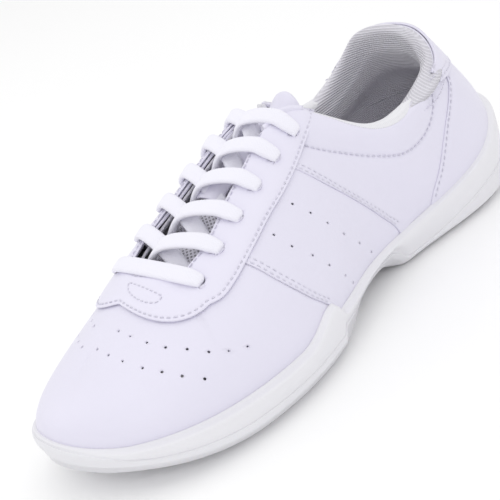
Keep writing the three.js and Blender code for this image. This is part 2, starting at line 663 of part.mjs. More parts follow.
const foxingRegion = sideRegion(behind(foxingEdge))
  .subtract(block([-far, -far, patchBottom - gap], [far, far, far]));
const patchRegion = sideRegion(behind(patchFront));
piece('heel_overlay', 'leather', overlayLayer.intersect(foxingRegion).subtract(midsoleRoom));
piece('heel_patch', 'leather', overlayLayer.intersect(patchRegion).subtract(bindingChannel));

const collarFront = 14;             // the padded collar starts here
const counterFront = [[40, -10], [42, 20], [52, 34], [66, 46], [80, 52], [130, 54]];
const counterTop = 50;
piece('heel_stiffener', 'board', stiffLayer.intersect(sideRegion(behind(counterFront))
  .subtract(block([-far, -far, counterTop], [far, far, far]))));
const foamRegion = block([-far, collarFront + 4, counterTop + gap], [far, far, 58]);
piece('collar_foam', 'foam', foamLayer.intersect(foamRegion).subtract(bindingChannel));
const liningSplit = 47;             // height where the collar lining meets the lower lining
const rearLining = lining.intersect(behindFlex);
const collarRegion = block([-far, collarFront, liningSplit + halfGap], [far, far, far]);
const belowCollar = block([-far, collarFront - gap, liningSplit - halfGap], [far, far, far]);
piece('quarter_lining', 'textile', rearLining.subtract(belowCollar));
piece('collar_lining', 'textile', rearLining.intersect(collarRegion));
piece('topline_binding', 'textile', toplineBinding);

Object.entries(tongueLayers).forEach(([name, [outer, inner]]) => {
  const finish = { face: 'leather', foam: 'foam', lining: 'textile' }[name];
  piece(`tongue_${name}`, finish, tongueSheet(tongueRoot, tongueFoldY - gap, outer, inner));
  piece(`tongue_flap_${name}`, finish, tongueSheet(tongueFoldY + gap, tongueTip, outer, inner));
});
piece('lace_keeper', 'leather', laceKeeper);
piece('lace', 'lace', lace);
Object.entries(laceTips).forEach(([side, solid]) => piece(`lace_tip_${side}`, 'tip', solid));

// the origin lies under the middle of the shoe's length and width
shoe.position.set(frameShift.x, frameShift.y, 0);

export default shoe;
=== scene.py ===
import math

import bmesh
import bpy
import numpy as np
from mathutils import Matrix, Vector


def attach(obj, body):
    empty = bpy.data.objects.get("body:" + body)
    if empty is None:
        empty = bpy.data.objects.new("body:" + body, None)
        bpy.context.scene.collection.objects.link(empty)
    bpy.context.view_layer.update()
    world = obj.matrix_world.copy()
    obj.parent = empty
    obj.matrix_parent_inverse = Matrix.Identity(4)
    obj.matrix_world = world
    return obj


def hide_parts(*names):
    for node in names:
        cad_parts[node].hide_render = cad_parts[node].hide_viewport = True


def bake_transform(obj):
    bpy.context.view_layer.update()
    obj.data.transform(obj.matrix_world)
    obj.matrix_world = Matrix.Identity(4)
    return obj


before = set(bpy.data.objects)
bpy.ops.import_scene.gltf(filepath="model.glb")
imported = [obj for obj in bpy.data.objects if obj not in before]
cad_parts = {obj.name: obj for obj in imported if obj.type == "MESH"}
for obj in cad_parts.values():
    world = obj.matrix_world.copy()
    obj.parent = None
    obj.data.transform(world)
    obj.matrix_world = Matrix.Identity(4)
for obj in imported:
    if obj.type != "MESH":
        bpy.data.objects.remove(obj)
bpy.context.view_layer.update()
print("frame loaded")

# Working units are millimetres in the last's own frame; originShift centres the shoe.
originShift = np.array([-1.4, 3.0, 0.0])

# One row per station round the foot: feather edge, crown, pull out and up at the feather,
# pull at the crown, then ground outset, rim height and rim outset of the sole.
stations = np.array([
    [1, 125, 22, -1, 101, 83, 5, 22, 0, 6, -16, -1, 39, 4],
    [21, 120, 22, 15, 97, 82, 5, 22, 4, 6, -16, 1, 38, 4],
    [31, 100, 19, 28, 90, 69, 4, 16, 3, 0, -11, 2, 25, 4],
    [30, 75, 18, 28, 64, 62, 3, 12, 3, 0, -10, 2, 20, 3],
    [27, 46, 15, 30, 36, 61, 3, 16, 5, 0, -14, -1, 17, 2.4],
    [27, 14, 14, -2, 17, 91, 5, 22, 22, 0, 0, 0, 16, 2.4],
    [38, -12, 15, -3, -13, 79, 5, 24, 26, 0, 0, 2, 16.5, 3],
    [46, -47, 15, -6, -43, 66.5, 5, 24, 28, 0, 0, 3, 16, 4],
    [42, -83, 15, -7, -68, 55.7, 5, 22, 27, -2, -0.8, 4, 16, 4],
    [31, -109, 17, -8, -87, 48.3, 5, 18, 22, -8, -2.6, 4, 17, 4],
    [10, -127.5, 19, -8.3, -98.6, 43, 4, 15, 12, -12, -4.4, 1.5, 22, 2.4],
    [-12.5, -130.5, 20, -8, -104, 40.2, 4, 14, 2, -13, -5, 0.6, 26, 1.4],
    [-27.3, -121.5, 19, -8.3, -98.6, 43, 4, 14.4, -6, -11, -4.2, 1, 23.4, 2],
    [-36, -103.5, 17, -8, -87, 48.3, 5, 16.4, -12, -7.4, -2.6, 2.4, 19, 3.4],
    [-41, -79, 15, -7, -68, 55.7, 5, 20.4, -18, -2, -0.8, 3, 16, 4],
    [-42, -51, 15, -6, -43, 66.5, 5, 23, -22, 0, 0, 3, 16, 4],
    [-37, -22, 16, -3, -13, 79, 4, 23, -22, 0, 0, 1, 19, 4],
    [-29, 7, 16, -2, 17, 91, 4, 25, -20, 0, 0, -2, 20, 3],
    [-27, 40, 16, -27, 37, 66, 4, 16, -4, 0, -14, -2, 19, 3],
    [-30, 72, 18, -28, 64, 61, 3, 12, -3, 0, -10, 1, 21, 3],
    [-30, 99, 19, -27, 89, 70, 4, 16, -4, 0, -11, 1, 26, 4],
    [-19, 120, 22, -17, 97, 83, 5, 22, -4, 6, -16, 0, 38, 4],
], float)
loop = len(stations)
toe = loop / 2
feather, crown, rise, lean, soleRow = (
    stations[:, 0:3], stations[:, 3:6], stations[:, 6:8], stations[:, 8:11], stations[:, 11:14])


def smooth(t):  # 3t^2 - 2t^3, held at 0 and 1
    t = np.clip(t, 0, 1)
    return t * t * (3 - 2 * t)


def mix(a, b, t):
    return a + (b - a) * t


def unit(a):
    return a / np.maximum(np.linalg.norm(a, axis=-1, keepdims=True), 1e-9)


def bell(x, centre, width):  # Gaussian: 1 at the centre, 1/e one width away
    return np.exp(-(((x - centre) / width) ** 2))


def lengthAlong(line):  # running length of a polyline, from 0
    return np.concatenate([[0], np.cumsum(np.linalg.norm(np.diff(line, axis=0), axis=1))])


def ovalSection(turn, powerAcross, powerUp):
    # superellipse: flatter than an ellipse on the sides whose power is below 1
    cosine, sine = np.cos(turn), np.sin(turn)
    return np.sign(cosine) * np.abs(cosine) ** powerAcross, np.sign(sine) * np.abs(sine) ** powerUp


def fromHeel(s):  # stations between s and the back seam, the shorter way round
    return np.minimum(s % loop, loop - s % loop)


def around(rows, s):
    # closed uniform cubic B-spline of the station rows
    base = np.floor(s).astype(int)
    f = (s - base)[..., None]
    weights = ((1 - f) ** 3, 3 * f ** 3 - 6 * f ** 2 + 4, -3 * f ** 3 + 3 * f ** 2 + 3 * f + 1, f ** 3)
    return sum(w * rows[(base + k - 1) % loop] for k, w in enumerate(weights)) / 6


def outward(s):
    d = around(feather, s + 0.01) - around(feather, s - 0.01)
    return unit(np.stack([-d[..., 1], d[..., 0], 0 * d[..., 0]], -1))


def upper(s, v):
    # outside of the leather: cubic Bezier in v from the feather edge to the crown of station s
    f, c, pull = around(feather, s), around(crown, s), around(rise, s)
    low = f + outward(s) * pull[..., :1]
    low[..., 2] += pull[..., 1]
    high = c + around(lean, s)
    v = v[..., None]
    return (1 - v) ** 3 * f + 3 * (1 - v) ** 2 * v * low + 3 * (1 - v) * v ** 2 * high + v ** 3 * c


def upperNormal(s, v):
    along = upper(s + 0.004, v) - upper(s - 0.004, v)
    climb = upper(s, np.minimum(v + 0.004, 1)) - upper(s, np.maximum(v - 0.004, 0))
    return unit(np.cross(climb, along))


def skin(s, v, lift):
    # the point lift millimetres outside the leather's face
    s, v, lift = np.broadcast_arrays(np.asarray(s, float), np.asarray(v, float), np.asarray(lift, float))
    return upper(s, v) + upperNormal(s, v) * lift[..., None]


# the point from which the vents' places were sighted
markView = np.array([381.7, -328.0, 261.5])


def solveFor(target, axes, outer):
    # (s, v) of the face that matches target on two axes: nearest of a coarse grid, then Newton
    target = np.asarray(target, float)
    low, high = (0.0, toe) if outer else (toe, float(loop))
    sGrid, vGrid = np.meshgrid(np.linspace(low, high, 221), np.linspace(0, 1, 81), indexing="ij")
    coarse = upper(sGrid, vGrid)[..., axes].reshape(-1, 2)
    nearest = ((target[:, None] - coarse[None]) ** 2).sum(-1).argmin(1)
    s, v = sGrid.ravel()[nearest], vGrid.ravel()[nearest]
    for _ in range(8):
        error = target - upper(s, v)[:, axes]
        ds = (upper(s + 0.01, v) - upper(s - 0.01, v))[:, axes] / 0.02
        dv = (upper(s, v + 0.005) - upper(s, v - 0.005))[:, axes] / 0.01
        det = ds[:, 0] * dv[:, 1] - ds[:, 1] * dv[:, 0]
        det = np.where(np.abs(det) < 1e-3, 1e-3, det)
        stepS = (error[:, 0] * dv[:, 1] - error[:, 1] * dv[:, 0]) / det
        stepV = (ds[:, 0] * error[:, 1] - ds[:, 1] * error[:, 0]) / det
        s = np.clip(s + np.clip(stepS, -0.2, 0.2), low - 0.3, high + 0.3)
        v = np.clip(v + np.clip(stepV, -0.1, 0.1), -0.02, 1)
    return s, v


def solveSeen(target, outer):
    # (s, v) where the line from markView through each point meets the face
    found = []
    for point in np.asarray(target, float):
        ray = unit(markView - point)
        first = unit(np.cross(ray, [0, 0, 1]))
        plane = np.stack([first, np.cross(ray, first)])
        low, high = (0.0, toe) if outer else (toe, float(loop))
        sGrid, vGrid = np.meshgrid(np.linspace(low, high, 111), np.linspace(0, 1, 61), indexing="ij")
        gap = np.linalg.norm((upper(sGrid, vGrid) - point) @ plane.T, axis=-1)
        gap += 0.02 * np.abs((upper(sGrid, vGrid) - point) @ ray)
        i, j = np.unravel_index(gap.argmin(), gap.shape)
        s, v = sGrid[i, j], vGrid[i, j]

        def missBy(a, b):
            return (upper(np.array([a]), np.array([b]))[0] - point) @ plane.T

        for _ in range(8):
            perS = (missBy(s + 0.01, v) - missBy(s - 0.01, v)) / 0.02
            perV = (missBy(s, v + 0.005) - missBy(s, v - 0.005)) / 0.01
            step = np.linalg.lstsq(np.stack([perS, perV], 1), -missBy(s, v), rcond=None)[0]
            s, v = s + np.clip(step[0], -0.2, 0.2), min(1.0, v + np.clip(step[1], -0.1, 0.1))
        found.append((s, v))
    return np.array(found).T


def throughPoints(points, count):
    # cubic Hermite curve through the points, at equal distances along it
    points = np.asarray(points, float)
    t = lengthAlong(points)
    slope = np.gradient(points, t, axis=0)
    u = np.linspace(0, t[-1], 1200)
    k = np.clip(np.searchsorted(t, u, side="right") - 1, 0, len(t) - 2)
    h = (t[k + 1] - t[k])[:, None]
    f = (u[:, None] - t[k][:, None]) / h
    fine = ((2 * f ** 3 - 3 * f ** 2 + 1) * points[k] + (f ** 3 - 2 * f ** 2 + f) * h * slope[k]
            + (3 * f ** 2 - 2 * f ** 3) * points[k + 1] + (f ** 3 - f ** 2) * h * slope[k + 1])
    return evenly(fine, count)


def evenly(line, count):
    length = lengthAlong(line)
    marks = np.linspace(0, length[-1], count)
    return np.stack([np.interp(marks, length, line[:, i]) for i in range(line.shape[1])], -1)


def lineLength(line):
    return float(np.linalg.norm(np.diff(line, axis=0), axis=1).sum())


def distanceTo(points, line):
    # distance of every point to the nearest point of a densely sampled line
    flat = points.reshape(-1, 3)
    found = np.full(len(flat), 1e9)
    for part in np.array_split(line, max(1, len(line) // 60)):
        gap = ((flat[:, None] - part[None]) ** 2).sum(-1).min(1)
        found = np.minimum(found, gap)
    return np.sqrt(found).reshape(points.shape[:-1])


def ripple(points, size, seed):
    # sum of seven sine waves in random directions, about -1 to 1
    random = np.random.default_rng(seed)
    waves = unit(random.normal(size=(7, 3))) * 2 * np.pi / (size * random.uniform(0.6, 1.6, (7, 1)))
    return np.sin(points @ waves.T + random.uniform(0, 6.28, 7)).mean(-1) * 1.6


# Meshes

def addPiece(name, points, faces, materials):
    # a smooth object at the origin, from points in the last's frame
    mesh = bpy.data.meshes.new(name)
    mesh.from_pydata(((points.reshape(-1, 3) + originShift) / 1000).tolist(), [], faces)
    for material in materials:
        mesh.materials.append(material)
    mesh.polygons.foreach_set("use_smooth", np.ones(len(faces), bool))
    piece = bpy.data.objects.new(name, mesh)
    bpy.context.scene.collection.objects.link(piece)
    return piece


def gridMesh(name, points, material, closeAlong=False, closeAcross=False, keep=None, capEnds=False,
             weld=0.0, flip=False, rowMaterial=None, chart=None):
    # a sheet of quads over a grid of points (mm), with a UV map in metres along and across it
    rows, columns = points.shape[:2]
    index = np.arange(rows * columns).reshape(rows, columns)
    if closeAlong:
        index = np.vstack([index, index[:1]])
    if closeAcross:
        index = np.hstack([index, index[:, :1]])
    full = points.reshape(-1, 3)[index]
    along = np.zeros(index.shape)
    along[1:] = np.cumsum(np.linalg.norm(np.diff(full, axis=0), axis=-1), axis=0)
    across = np.zeros(index.shape)
    across[:, 1:] = np.cumsum(np.linalg.norm(np.diff(full, axis=1), axis=-1), axis=1)
    uvGrid = np.stack([along.mean(1, keepdims=True) + 0 * along, across], -1) / 1000
    if chart is not None:
        uvGrid = chart.reshape(-1, 2)[index]

    def corners(a):
        ring = (a[:-1, :-1], a[:-1, 1:], a[1:, 1:], a[1:, :-1])
        return np.stack(ring[::-1] if flip else ring, 2)

    quads, uvs = corners(index), corners(uvGrid)
    use = np.ones(quads.shape[:2], bool) if keep is None else keep.copy()
    quads, uvs = quads[use], uvs[use]
    faces = quads.tolist()
    uvList = uvs.reshape(-1, 2)
    if capEnds:
        for ring in (index[0, :columns][::-1], index[-1, :columns]):
            faces.append(list(map(int, ring[::-1] if flip else ring)))
            uvList = np.vstack([uvList, np.zeros((columns, 2))])
    piece = addPiece(name, points, faces, material if isinstance(material, list) else [material])
    mesh = piece.data
    mesh.uv_layers.new(name="surface").data.foreach_set("uv", uvList.astype(np.float32).ravel())
    if rowMaterial is not None:
        which = np.zeros(len(faces), np.int32)
        which[:len(quads)] = rowMaterial[use]
        mesh.polygons.foreach_set("material_index", which)
    mesh.update()
    if weld:
        mergeClose(piece, weld)
    return piece


def rework(piece, change):
    work = bmesh.new()
    work.from_mesh(piece.data)
    change(work)
    work.to_mesh(piece.data)
    work.free()
    piece.data.update()


def mergeClose(piece, distance):
    rework(piece, lambda work: bmesh.ops.remove_doubles(work, verts=work.verts, dist=distance / 1000))


def dropLoose(piece):
    rework(piece, lambda work: bmesh.ops.delete(
        work, geom=[v for v in work.verts if not v.link_faces], context="VERTS"))


def thicken(piece, thickness, offset=-1.0):
    wall = piece.modifiers.new("wall", "SOLIDIFY")
    wall.thickness = thickness / 1000
    wall.offset = offset
    wall.use_quality_normals = True
    return piece


def punch(points, keep, centre, radius):
    # opens a round hole: the ring of vertices nearest the radius is pulled on to the circle
    # and the faces inside it are dropped
    gap = np.linalg.norm(points - centre, axis=-1)
    i, j = np.unravel_index(gap.argmin(), gap.shape)
    if gap[i, j] > 3 or min(i, j) < 2 or i > gap.shape[0] - 3 or j > gap.shape[1] - 3:
        return
    stepI = np.linalg.norm(points[i + 1, j] - points[i, j])
    stepJ = np.linalg.norm(points[i, j + 1] - points[i, j])
    ki, kj = (max(1, round(radius * 0.9 / step)) for step in (stepI, stepJ))
    ki = min(ki, i, gap.shape[0] - 1 - i)
    kj = min(kj, j, gap.shape[1] - 1 - j)
    block = points[i - ki:i + ki + 1, j - kj:j + kj + 1]
    first = unit(points[i + 1, j] - points[i, j])
    normal = unit(np.cross(first, points[i, j + 1] - points[i, j]))
    second = np.cross(normal, first)
    away = block - centre
    angle = np.arctan2(away @ second, away @ first)
    rim = np.zeros(block.shape[:2], bool)
    rim[[0, -1], :] = rim[:, [0, -1]] = True
    circle = centre + radius * (np.cos(angle)[..., None] * first + np.sin(angle)[..., None] * second)
    block[rim] = circle[rim]
    keep[i - ki:i + ki, j - kj:j + kj] = False


def marginsOf(base):
    # distance of every grid point to the four borders, measured along the grid
    stepI = np.linalg.norm(np.diff(base, axis=0), axis=-1)
    stepJ = np.linalg.norm(np.diff(base, axis=1), axis=-1)
    fromStart = np.zeros(base.shape[:2])
    fromStart[1:] = np.cumsum(stepI, 0)
    fromFoot = np.zeros(base.shape[:2])
    fromFoot[:, 1:] = np.cumsum(stepJ, 1)
    return fromStart, fromStart[-1:] - fromStart, fromFoot, fromFoot[:, -1:] - fromFoot


def edgeRoll(distance, radius):
    # how far a rounded edge of that radius has dropped at a distance from the border
    d = np.clip(distance, 0, radius)
    return radius - np.sqrt(np.maximum(radius ** 2 - (radius - d) ** 2, 0))


def finePitch(count, edge=(0, 0.004, 0.009, 0.016)):
    # 0 to 1 in equal steps with extra ones at both ends
    steps = np.concatenate([edge, np.linspace(0.024, 0.976, count), 1 - np.array(edge)])
    return np.unique(np.round(steps, 5))


# Materials

def newMaterial(name, colour, roughness, **sockets):
    material = bpy.data.materials.new(name)
    material.use_nodes = True
    tree = material.node_tree
    shader = tree.nodes["Principled BSDF"]
    shader.inputs["Base Color"].default_value = (*colour, 1)
    shader.inputs["Roughness"].default_value = roughness
    for key, value in sockets.items():
        shader.inputs[key.replace("_", " ")].default_value = value
    return material, tree, shader


def addNode(tree, kind, inputs=None, **settings):
    node = tree.nodes.new(kind)
    for key, value in settings.items():
        setattr(node, key, value)
    for key, value in (inputs or {}).items():
        socket = node.inputs[key]
        if isinstance(value, bpy.types.NodeSocket):
            tree.links.new(value, socket)
        else:
            socket.default_value = value
    return node


def sumOf(tree, a, b, how="ADD"):
    return addNode(tree, "ShaderNodeMath", {0: a, 1: b}, operation=how).outputs[0]


def tint(tree, factor, dark, light):
    return addNode(tree, "ShaderNodeMix", {0: factor, 6: (*dark, 1), 7: (*light, 1)},
                   data_type="RGBA").outputs[2]


def shade(colour, share):
    return tuple(min(1, c * share) for c in colour)


def paint(tree, shader, factor, dark, light):
    tree.links.new(tint(tree, factor, dark, light), shader.inputs["Base Color"])


def glossFrom(tree, shader, source, low, high):
    gloss = addNode(tree, "ShaderNodeMapRange", {0: source, 3: low, 4: high})
    tree.links.new(gloss.outputs[0], shader.inputs["Roughness"])


def bumpInto(tree, shader, height, strength, distance):
    bump = addNode(tree, "ShaderNodeBump", {"Height": height, "Strength": strength, "Distance": distance})
    tree.links.new(bump.outputs[0], shader.inputs["Normal"])


def objectNoise(tree, scale, detail=2.0):
    place = addNode(tree, "ShaderNodeTexCoord").outputs["Object"]
    return addNode(tree, "ShaderNodeTexNoise", {"Vector": place, "Scale": scale, "Detail": detail}).outputs[0]


def coatedLeather(name, colour, roughness, grain=0.35):
    # coated hide: small pebbles between fine creases, faint cloudiness in colour and gloss
    material, tree, shader = newMaterial(name, colour, roughness, Sheen_Weight=0.12, Coat_Weight=0.06)
    place = addNode(tree, "ShaderNodeTexCoord").outputs["Object"]
    cells = addNode(tree, "ShaderNodeTexVoronoi", {"Vector": place, "Scale": 950.0, "Randomness": 0.9},
                    feature="SMOOTH_F1").outputs["Distance"]
    creases = objectNoise(tree, 420.0, 4.0)
    cloud = objectNoise(tree, 26.0, 3.0)
    height = sumOf(tree, sumOf(tree, cells, -0.6, "MULTIPLY"), creases)
    bumpInto(tree, shader, height, grain, 0.00012)
    paint(tree, shader, cloud, shade(colour, 0.965), shade(colour, 1.02))
    glossFrom(tree, shader, creases, roughness - 0.07, roughness + 0.1)
    return material


def mouldedRubber(name, colour, roughness):
    # satin mould skin with faint mottling
    material, tree, shader = newMaterial(name, colour, roughness, Sheen_Weight=0.05)
    fine = objectNoise(tree, 2400.0, 2.0)
    cloud = objectNoise(tree, 34.0, 3.0)
    bumpInto(tree, shader, fine, 0.18, 0.00006)
    paint(tree, shader, cloud, shade(colour, 0.955), colour)
    glossFrom(tree, shader, cloud, roughness - 0.06, roughness + 0.08)
    return material


def wave(tree, source, pitch, phase=0.0):
    # 0..1 sine of a length in metres with that pitch
    turn = sumOf(tree, sumOf(tree, source, 2 * math.pi / pitch, "MULTIPLY"), phase)
    sine = addNode(tree, "ShaderNodeMath", {0: turn}, operation="SINE").outputs[0]
    return addNode(tree, "ShaderNodeMapRange", {0: sine, 1: -1.0, 2: 1.0}).outputs[0]


def surfaceUv(tree):
    uv = addNode(tree, "ShaderNodeUVMap", uv_map="surface").outputs[0]
    axes = addNode(tree, "ShaderNodeSeparateXYZ", {0: uv})
    return axes.outputs[0], axes.outputs[1]


def ribbedKnit(name, colour, pitch, depth, dark=0.72):
    # ribs that run along the sheet at equal heights, each a row of small loops, with painted shade in the
    # grooves between the ribs
    material, tree, shader = newMaterial(name, colour, 0.85, Sheen_Weight=0.35, Sheen_Roughness=0.5)
    u, v = surfaceUv(tree)
    rib = wave(tree, v, pitch)
    loops = wave(tree, u, pitch * 0.62)
    fuzz = objectNoise(tree, 1500.0, 3.0)
    yarn = sumOf(tree, rib, sumOf(tree, loops, 0.18, "MULTIPLY"))
    height = sumOf(tree, yarn, sumOf(tree, fuzz, 0.25, "MULTIPLY"))
    bumpInto(tree, shader, height, 0.9, depth)
    # painted shade: colour darkens toward the bottom of each groove between ribs, by the share given as dark
    paint(tree, shader, rib, shade(colour, dark), colour)
    return material


def wovenTape(name, colour, pitch, depth, slant=1.0, dark=0.86, rough=0.8):
    # two sets of yarns that cross at a slant, as in a flat braid, with painted shade in the gaps between the
    # yarns
    material, tree, shader = newMaterial(name, colour, rough, Sheen_Weight=0.3, Sheen_Roughness=0.5)
    u, v = surfaceUv(tree)
    leaning = sumOf(tree, v, slant, "MULTIPLY")
    one = wave(tree, sumOf(tree, u, leaning), pitch)
    other = wave(tree, sumOf(tree, u, leaning, "SUBTRACT"), pitch)
    yarn = addNode(tree, "ShaderNodeMath", {0: one, 1: other}, operation="MAXIMUM").outputs[0]
    fuzz = objectNoise(tree, 2600.0, 3.0)
    bumpInto(tree, shader, sumOf(tree, yarn, sumOf(tree, fuzz, 0.4, "MULTIPLY")), 0.6, depth)
    # painted shade: darker where neither yarn stands high, by the share given as dark
    paint(tree, shader, yarn, shade(colour, dark), colour)
    return material


def openMesh(name, colour, pitch, dark):
    # sandwich mesh: a field of small round openings in staggered rows, each opening coloured dark as painted
    # shade
    material, tree, shader = newMaterial(name, colour, 0.85, Sheen_Weight=0.2)
    u, v = surfaceUv(tree)
    across = wave(tree, sumOf(tree, u, v), pitch)
    down = wave(tree, sumOf(tree, u, v, "SUBTRACT"), pitch)
    opening = sumOf(tree, across, down, "MULTIPLY")
    edge = addNode(tree, "ShaderNodeMapRange", {0: opening, 1: 0.28, 2: 0.5},
                   interpolation_type="SMOOTHSTEP").outputs[0]
    bumpInto(tree, shader, sumOf(tree, edge, -1.0, "MULTIPLY"), 0.9, 0.0004)
    # painted shade: the openings are coloured darker, standing in for the shadow inside them
    paint(tree, shader, edge, colour, shade(colour, dark))
    return material


def fibreSheet(name, colour, scale, dark=0.9):
    # pressed fibre or open-cell foam: mottled and slightly pitted
    material, tree, shader = newMaterial(name, colour, 0.92)
    pits = objectNoise(tree, scale, 5.0)
    bumpInto(tree, shader, pits, 0.6, 0.0003)
    paint(tree, shader, pits, shade(colour, dark), colour)
    return material


finishTones = {
    "leather": (0.765, 0.745, 0.862),
    "sole": (0.80, 0.795, 0.83),
    "knit": (0.76, 0.745, 0.81),
    "lace": (0.86, 0.85, 0.93),
    "tape": (0.82, 0.815, 0.85),
    "thread": (0.775, 0.757, 0.875),
}
leatherSkin = coatedLeather("whiteLeather", finishTones["leather"], 0.44)
eyestaySkin = coatedLeather("eyestayLeather", shade(finishTones["leather"], 1.02), 0.42)
tongueSkin = coatedLeather("tongueLeather", finishTones["leather"], 0.5, 0.5)
soleRubber = mouldedRubber("soleRubber", finishTones["sole"], 0.5)
midsoleRubber = mouldedRubber("midsoleRubber", shade(finishTones["sole"], 1.01), 0.42)
# the collar, lining, insole, lace, binding, thread and tongue mesh finishes below carry painted shade in
# their grooves, gaps or openings
collarKnit = ribbedKnit("collarKnit", finishTones["knit"], 0.00098, 0.0004, 0.8)
liningKnit = ribbedKnit("liningKnit", shade(finishTones["knit"], 0.97), 0.0009, 0.0003, 0.86)
insoleTwill = wovenTape("insoleTwill", shade(finishTones["knit"], 0.95), 0.0016, 0.0004, 0.55)
laceBraid = wovenTape("laceBraid", finishTones["lace"], 0.0011, 0.00008, 0.9, 0.975)
bindingTape = wovenTape("bindingTape", finishTones["tape"], 0.0008, 0.00012, 0.2, 0.93)
tongueMesh = openMesh("tongueMesh", shade(finishTones["knit"], 0.97), 0.0021, 0.42)
seamThread = wovenTape("seamThread", finishTones["thread"], 0.0006, 0.0001, 2.0)
boardFibre = fibreSheet("boardFibre", (0.62, 0.57, 0.5), 700.0)
puffBoard = fibreSheet("stiffenerBoard", (0.72, 0.7, 0.68), 900.0)
tipFilm = mouldedRubber("laceTipFilm", (0.84, 0.84, 0.9), 0.22)
print("materials ready")


# Pattern outlines, side view (y, z) or plan (x, y)

outlines = {
    "vampSeam": [(-22, 12), (-23, 18), (-34.5, 33), (-41.5, 43.5), (-45.5, 51.5), (-50, 58)],
    "quarterSeam": [(37, 12), (36, 17.5), (27, 31), (17.5, 43.5), (8, 55), (-0.6, 66.3), (-6, 73)],
    "eyestayEdge": [(25.5, 77.2), (12, 71.6), (-0.6, 66.3), (-12, 62.4), (-23.8, 59), (-35, 55.2),
                    (-45.5, 51.5), (-55, 48.3), (-63, 46.4), (-67.5, 46.4)],
    "overlayFront": [(57, 14), (57.5, 18.5), (66, 31), (76, 44.7), (86, 55), (90.4, 60), (91.4, 66)],
    "patchFront": [(84.5, 62.6), (82.8, 68), (81.4, 74)],
    "collarArc": [(8, 73.5), (12, 69.8), (24.3, 60.7), (36.2, 53.2), (51.2, 47.3), (66.7, 49.4),
                  (74.9, 55.4), (80, 66)],
}
eyeletSpan = {"y": (-62.5, 9.0), "outer": (19.5, 14.3), "inner": (-23.8, -18.4), "radius": 2.6, "rows": 6}
throatInset = 7.0
throatFront = -67.0
rowMarks = np.linspace(0, 1, eyeletSpan["rows"])
eyeletY = mix(*eyeletSpan["y"], rowMarks)
eyeletX = {"outer": mix(*eyeletSpan["outer"], rowMarks), "inner": mix(*eyeletSpan["inner"], rowMarks)}
eyeletPlace = {side: solveFor(np.stack([eyeletX[side], eyeletY], -1), (0, 1), side == "outer")
               for side in eyeletX}


def seamOf(key, outer, count=60):
    # an outline of the side view carried on to the face, as (s, v) pairs
    line = throughPoints(outlines[key], count)
    return solveFor(line, (1, 2), outer)


def throatHalf(outer, count=80):
    # throat edge of one side from the topline to the ridge, in plan, on to the face
    side = "outer" if outer else "inner"
    sign = 1 if outer else -1
    top, low = eyeletX[side][-1] - sign * throatInset, eyeletX[side][0] - sign * throatInset
    ridgeX = -7.1
    corner = low - sign * 1.2
    plan = [(top + sign * 3.4, 25), (top + sign * 0.6, eyeletY[-1] + 3),
            (mix(low, top, 0.5), mix(*eyeletSpan["y"], 0.5)), (low, eyeletY[0] + 5),
            (corner, throatFront + 4.6), (mix(corner, ridgeX, 0.28), throatFront + 1.6),
            (mix(corner, ridgeX, 0.6), throatFront + 0.4), (ridgeX + sign * 0.3, throatFront)]
    line = throughPoints(plan, count)
    return solveFor(line, (0, 1), outer)


throatLine = {outer: throatHalf(outer) for outer in (True, False)}


def throatTop(s, outer):
    # how high a flank reaches at s: to the throat edge, or to the ridge ahead of it
    lineS, lineV = throatLine[outer]
    ahead = lineS if outer else loop - lineS
    order = np.argsort(ahead)
    reach = np.interp(s, ahead[order], lineV[order], left=1.0, right=1.0)
    return np.where(s > ahead.max() - 0.02, 1.0, reach)


def climbTo(s, height):
    # v at which the face reaches a height
    low, high = np.zeros_like(s), np.ones_like(s)
    for _ in range(22):
        middle = (low + high) / 2
        below = upper(s, middle)[..., 2] < height
        low, high = np.where(below, middle, low), np.where(below, high, middle)
    return low


def seamAt(key, outer, v, ridge=None):
    # s of a seam as a function of v, on the outer side's numbering
    lineS, lineV = seamOf(key, outer)
    ahead = lineS if outer else loop - lineS
    order = np.argsort(lineV)
    lineV, ahead = lineV[order], ahead[order]
    if ridge is not None:
        lineV, ahead = np.append(lineV, 1.0), np.append(ahead, ridge)
    return np.interp(v, lineV, ahead)


def sideS(s, outer):
    return s if outer else loop - s


def chartLine(outerPart, innerPart, count):
    # joins an outer and an inner half line into one, as (s, q): q is 1-v outside and v-1 inside
    outerS, outerV = outerPart
    innerS, innerV = innerPart
    ahead = np.concatenate([outerS, (loop - innerS)[::-1]])
    q = np.concatenate([1 - outerV, (innerV - 1)[::-1]])
    return np.stack([ahead, q], -1)


def chartPoint(ahead, q, lift):
    outer = q >= 0
    return skin(np.where(outer, ahead, loop - ahead), 1 - np.abs(q), lift)


# Stitches: short threads that dip into the leather at both ends

stitchLook = {"pitch": 2.6, "length": 1.9, "thread": 0.27, "sunk": 0.16}
stitchRows = {}


def stitchRow(group, line, normals, look=stitchLook):
    length = lineLength(line)
    count = max(2, int(length / look["pitch"]))
    marks = (np.arange(count) + 0.5) / count
    at = lengthAlong(line) / length

    def pick(values):
        return np.stack([np.interp(marks, at, values[:, i]) for i in range(3)], -1)

    centre = pick(line)
    tangent = unit(pick(np.gradient(line, axis=0)))
    normal = unit(pick(normals))
    stitchRows.setdefault(group, []).append((centre, tangent, normal))


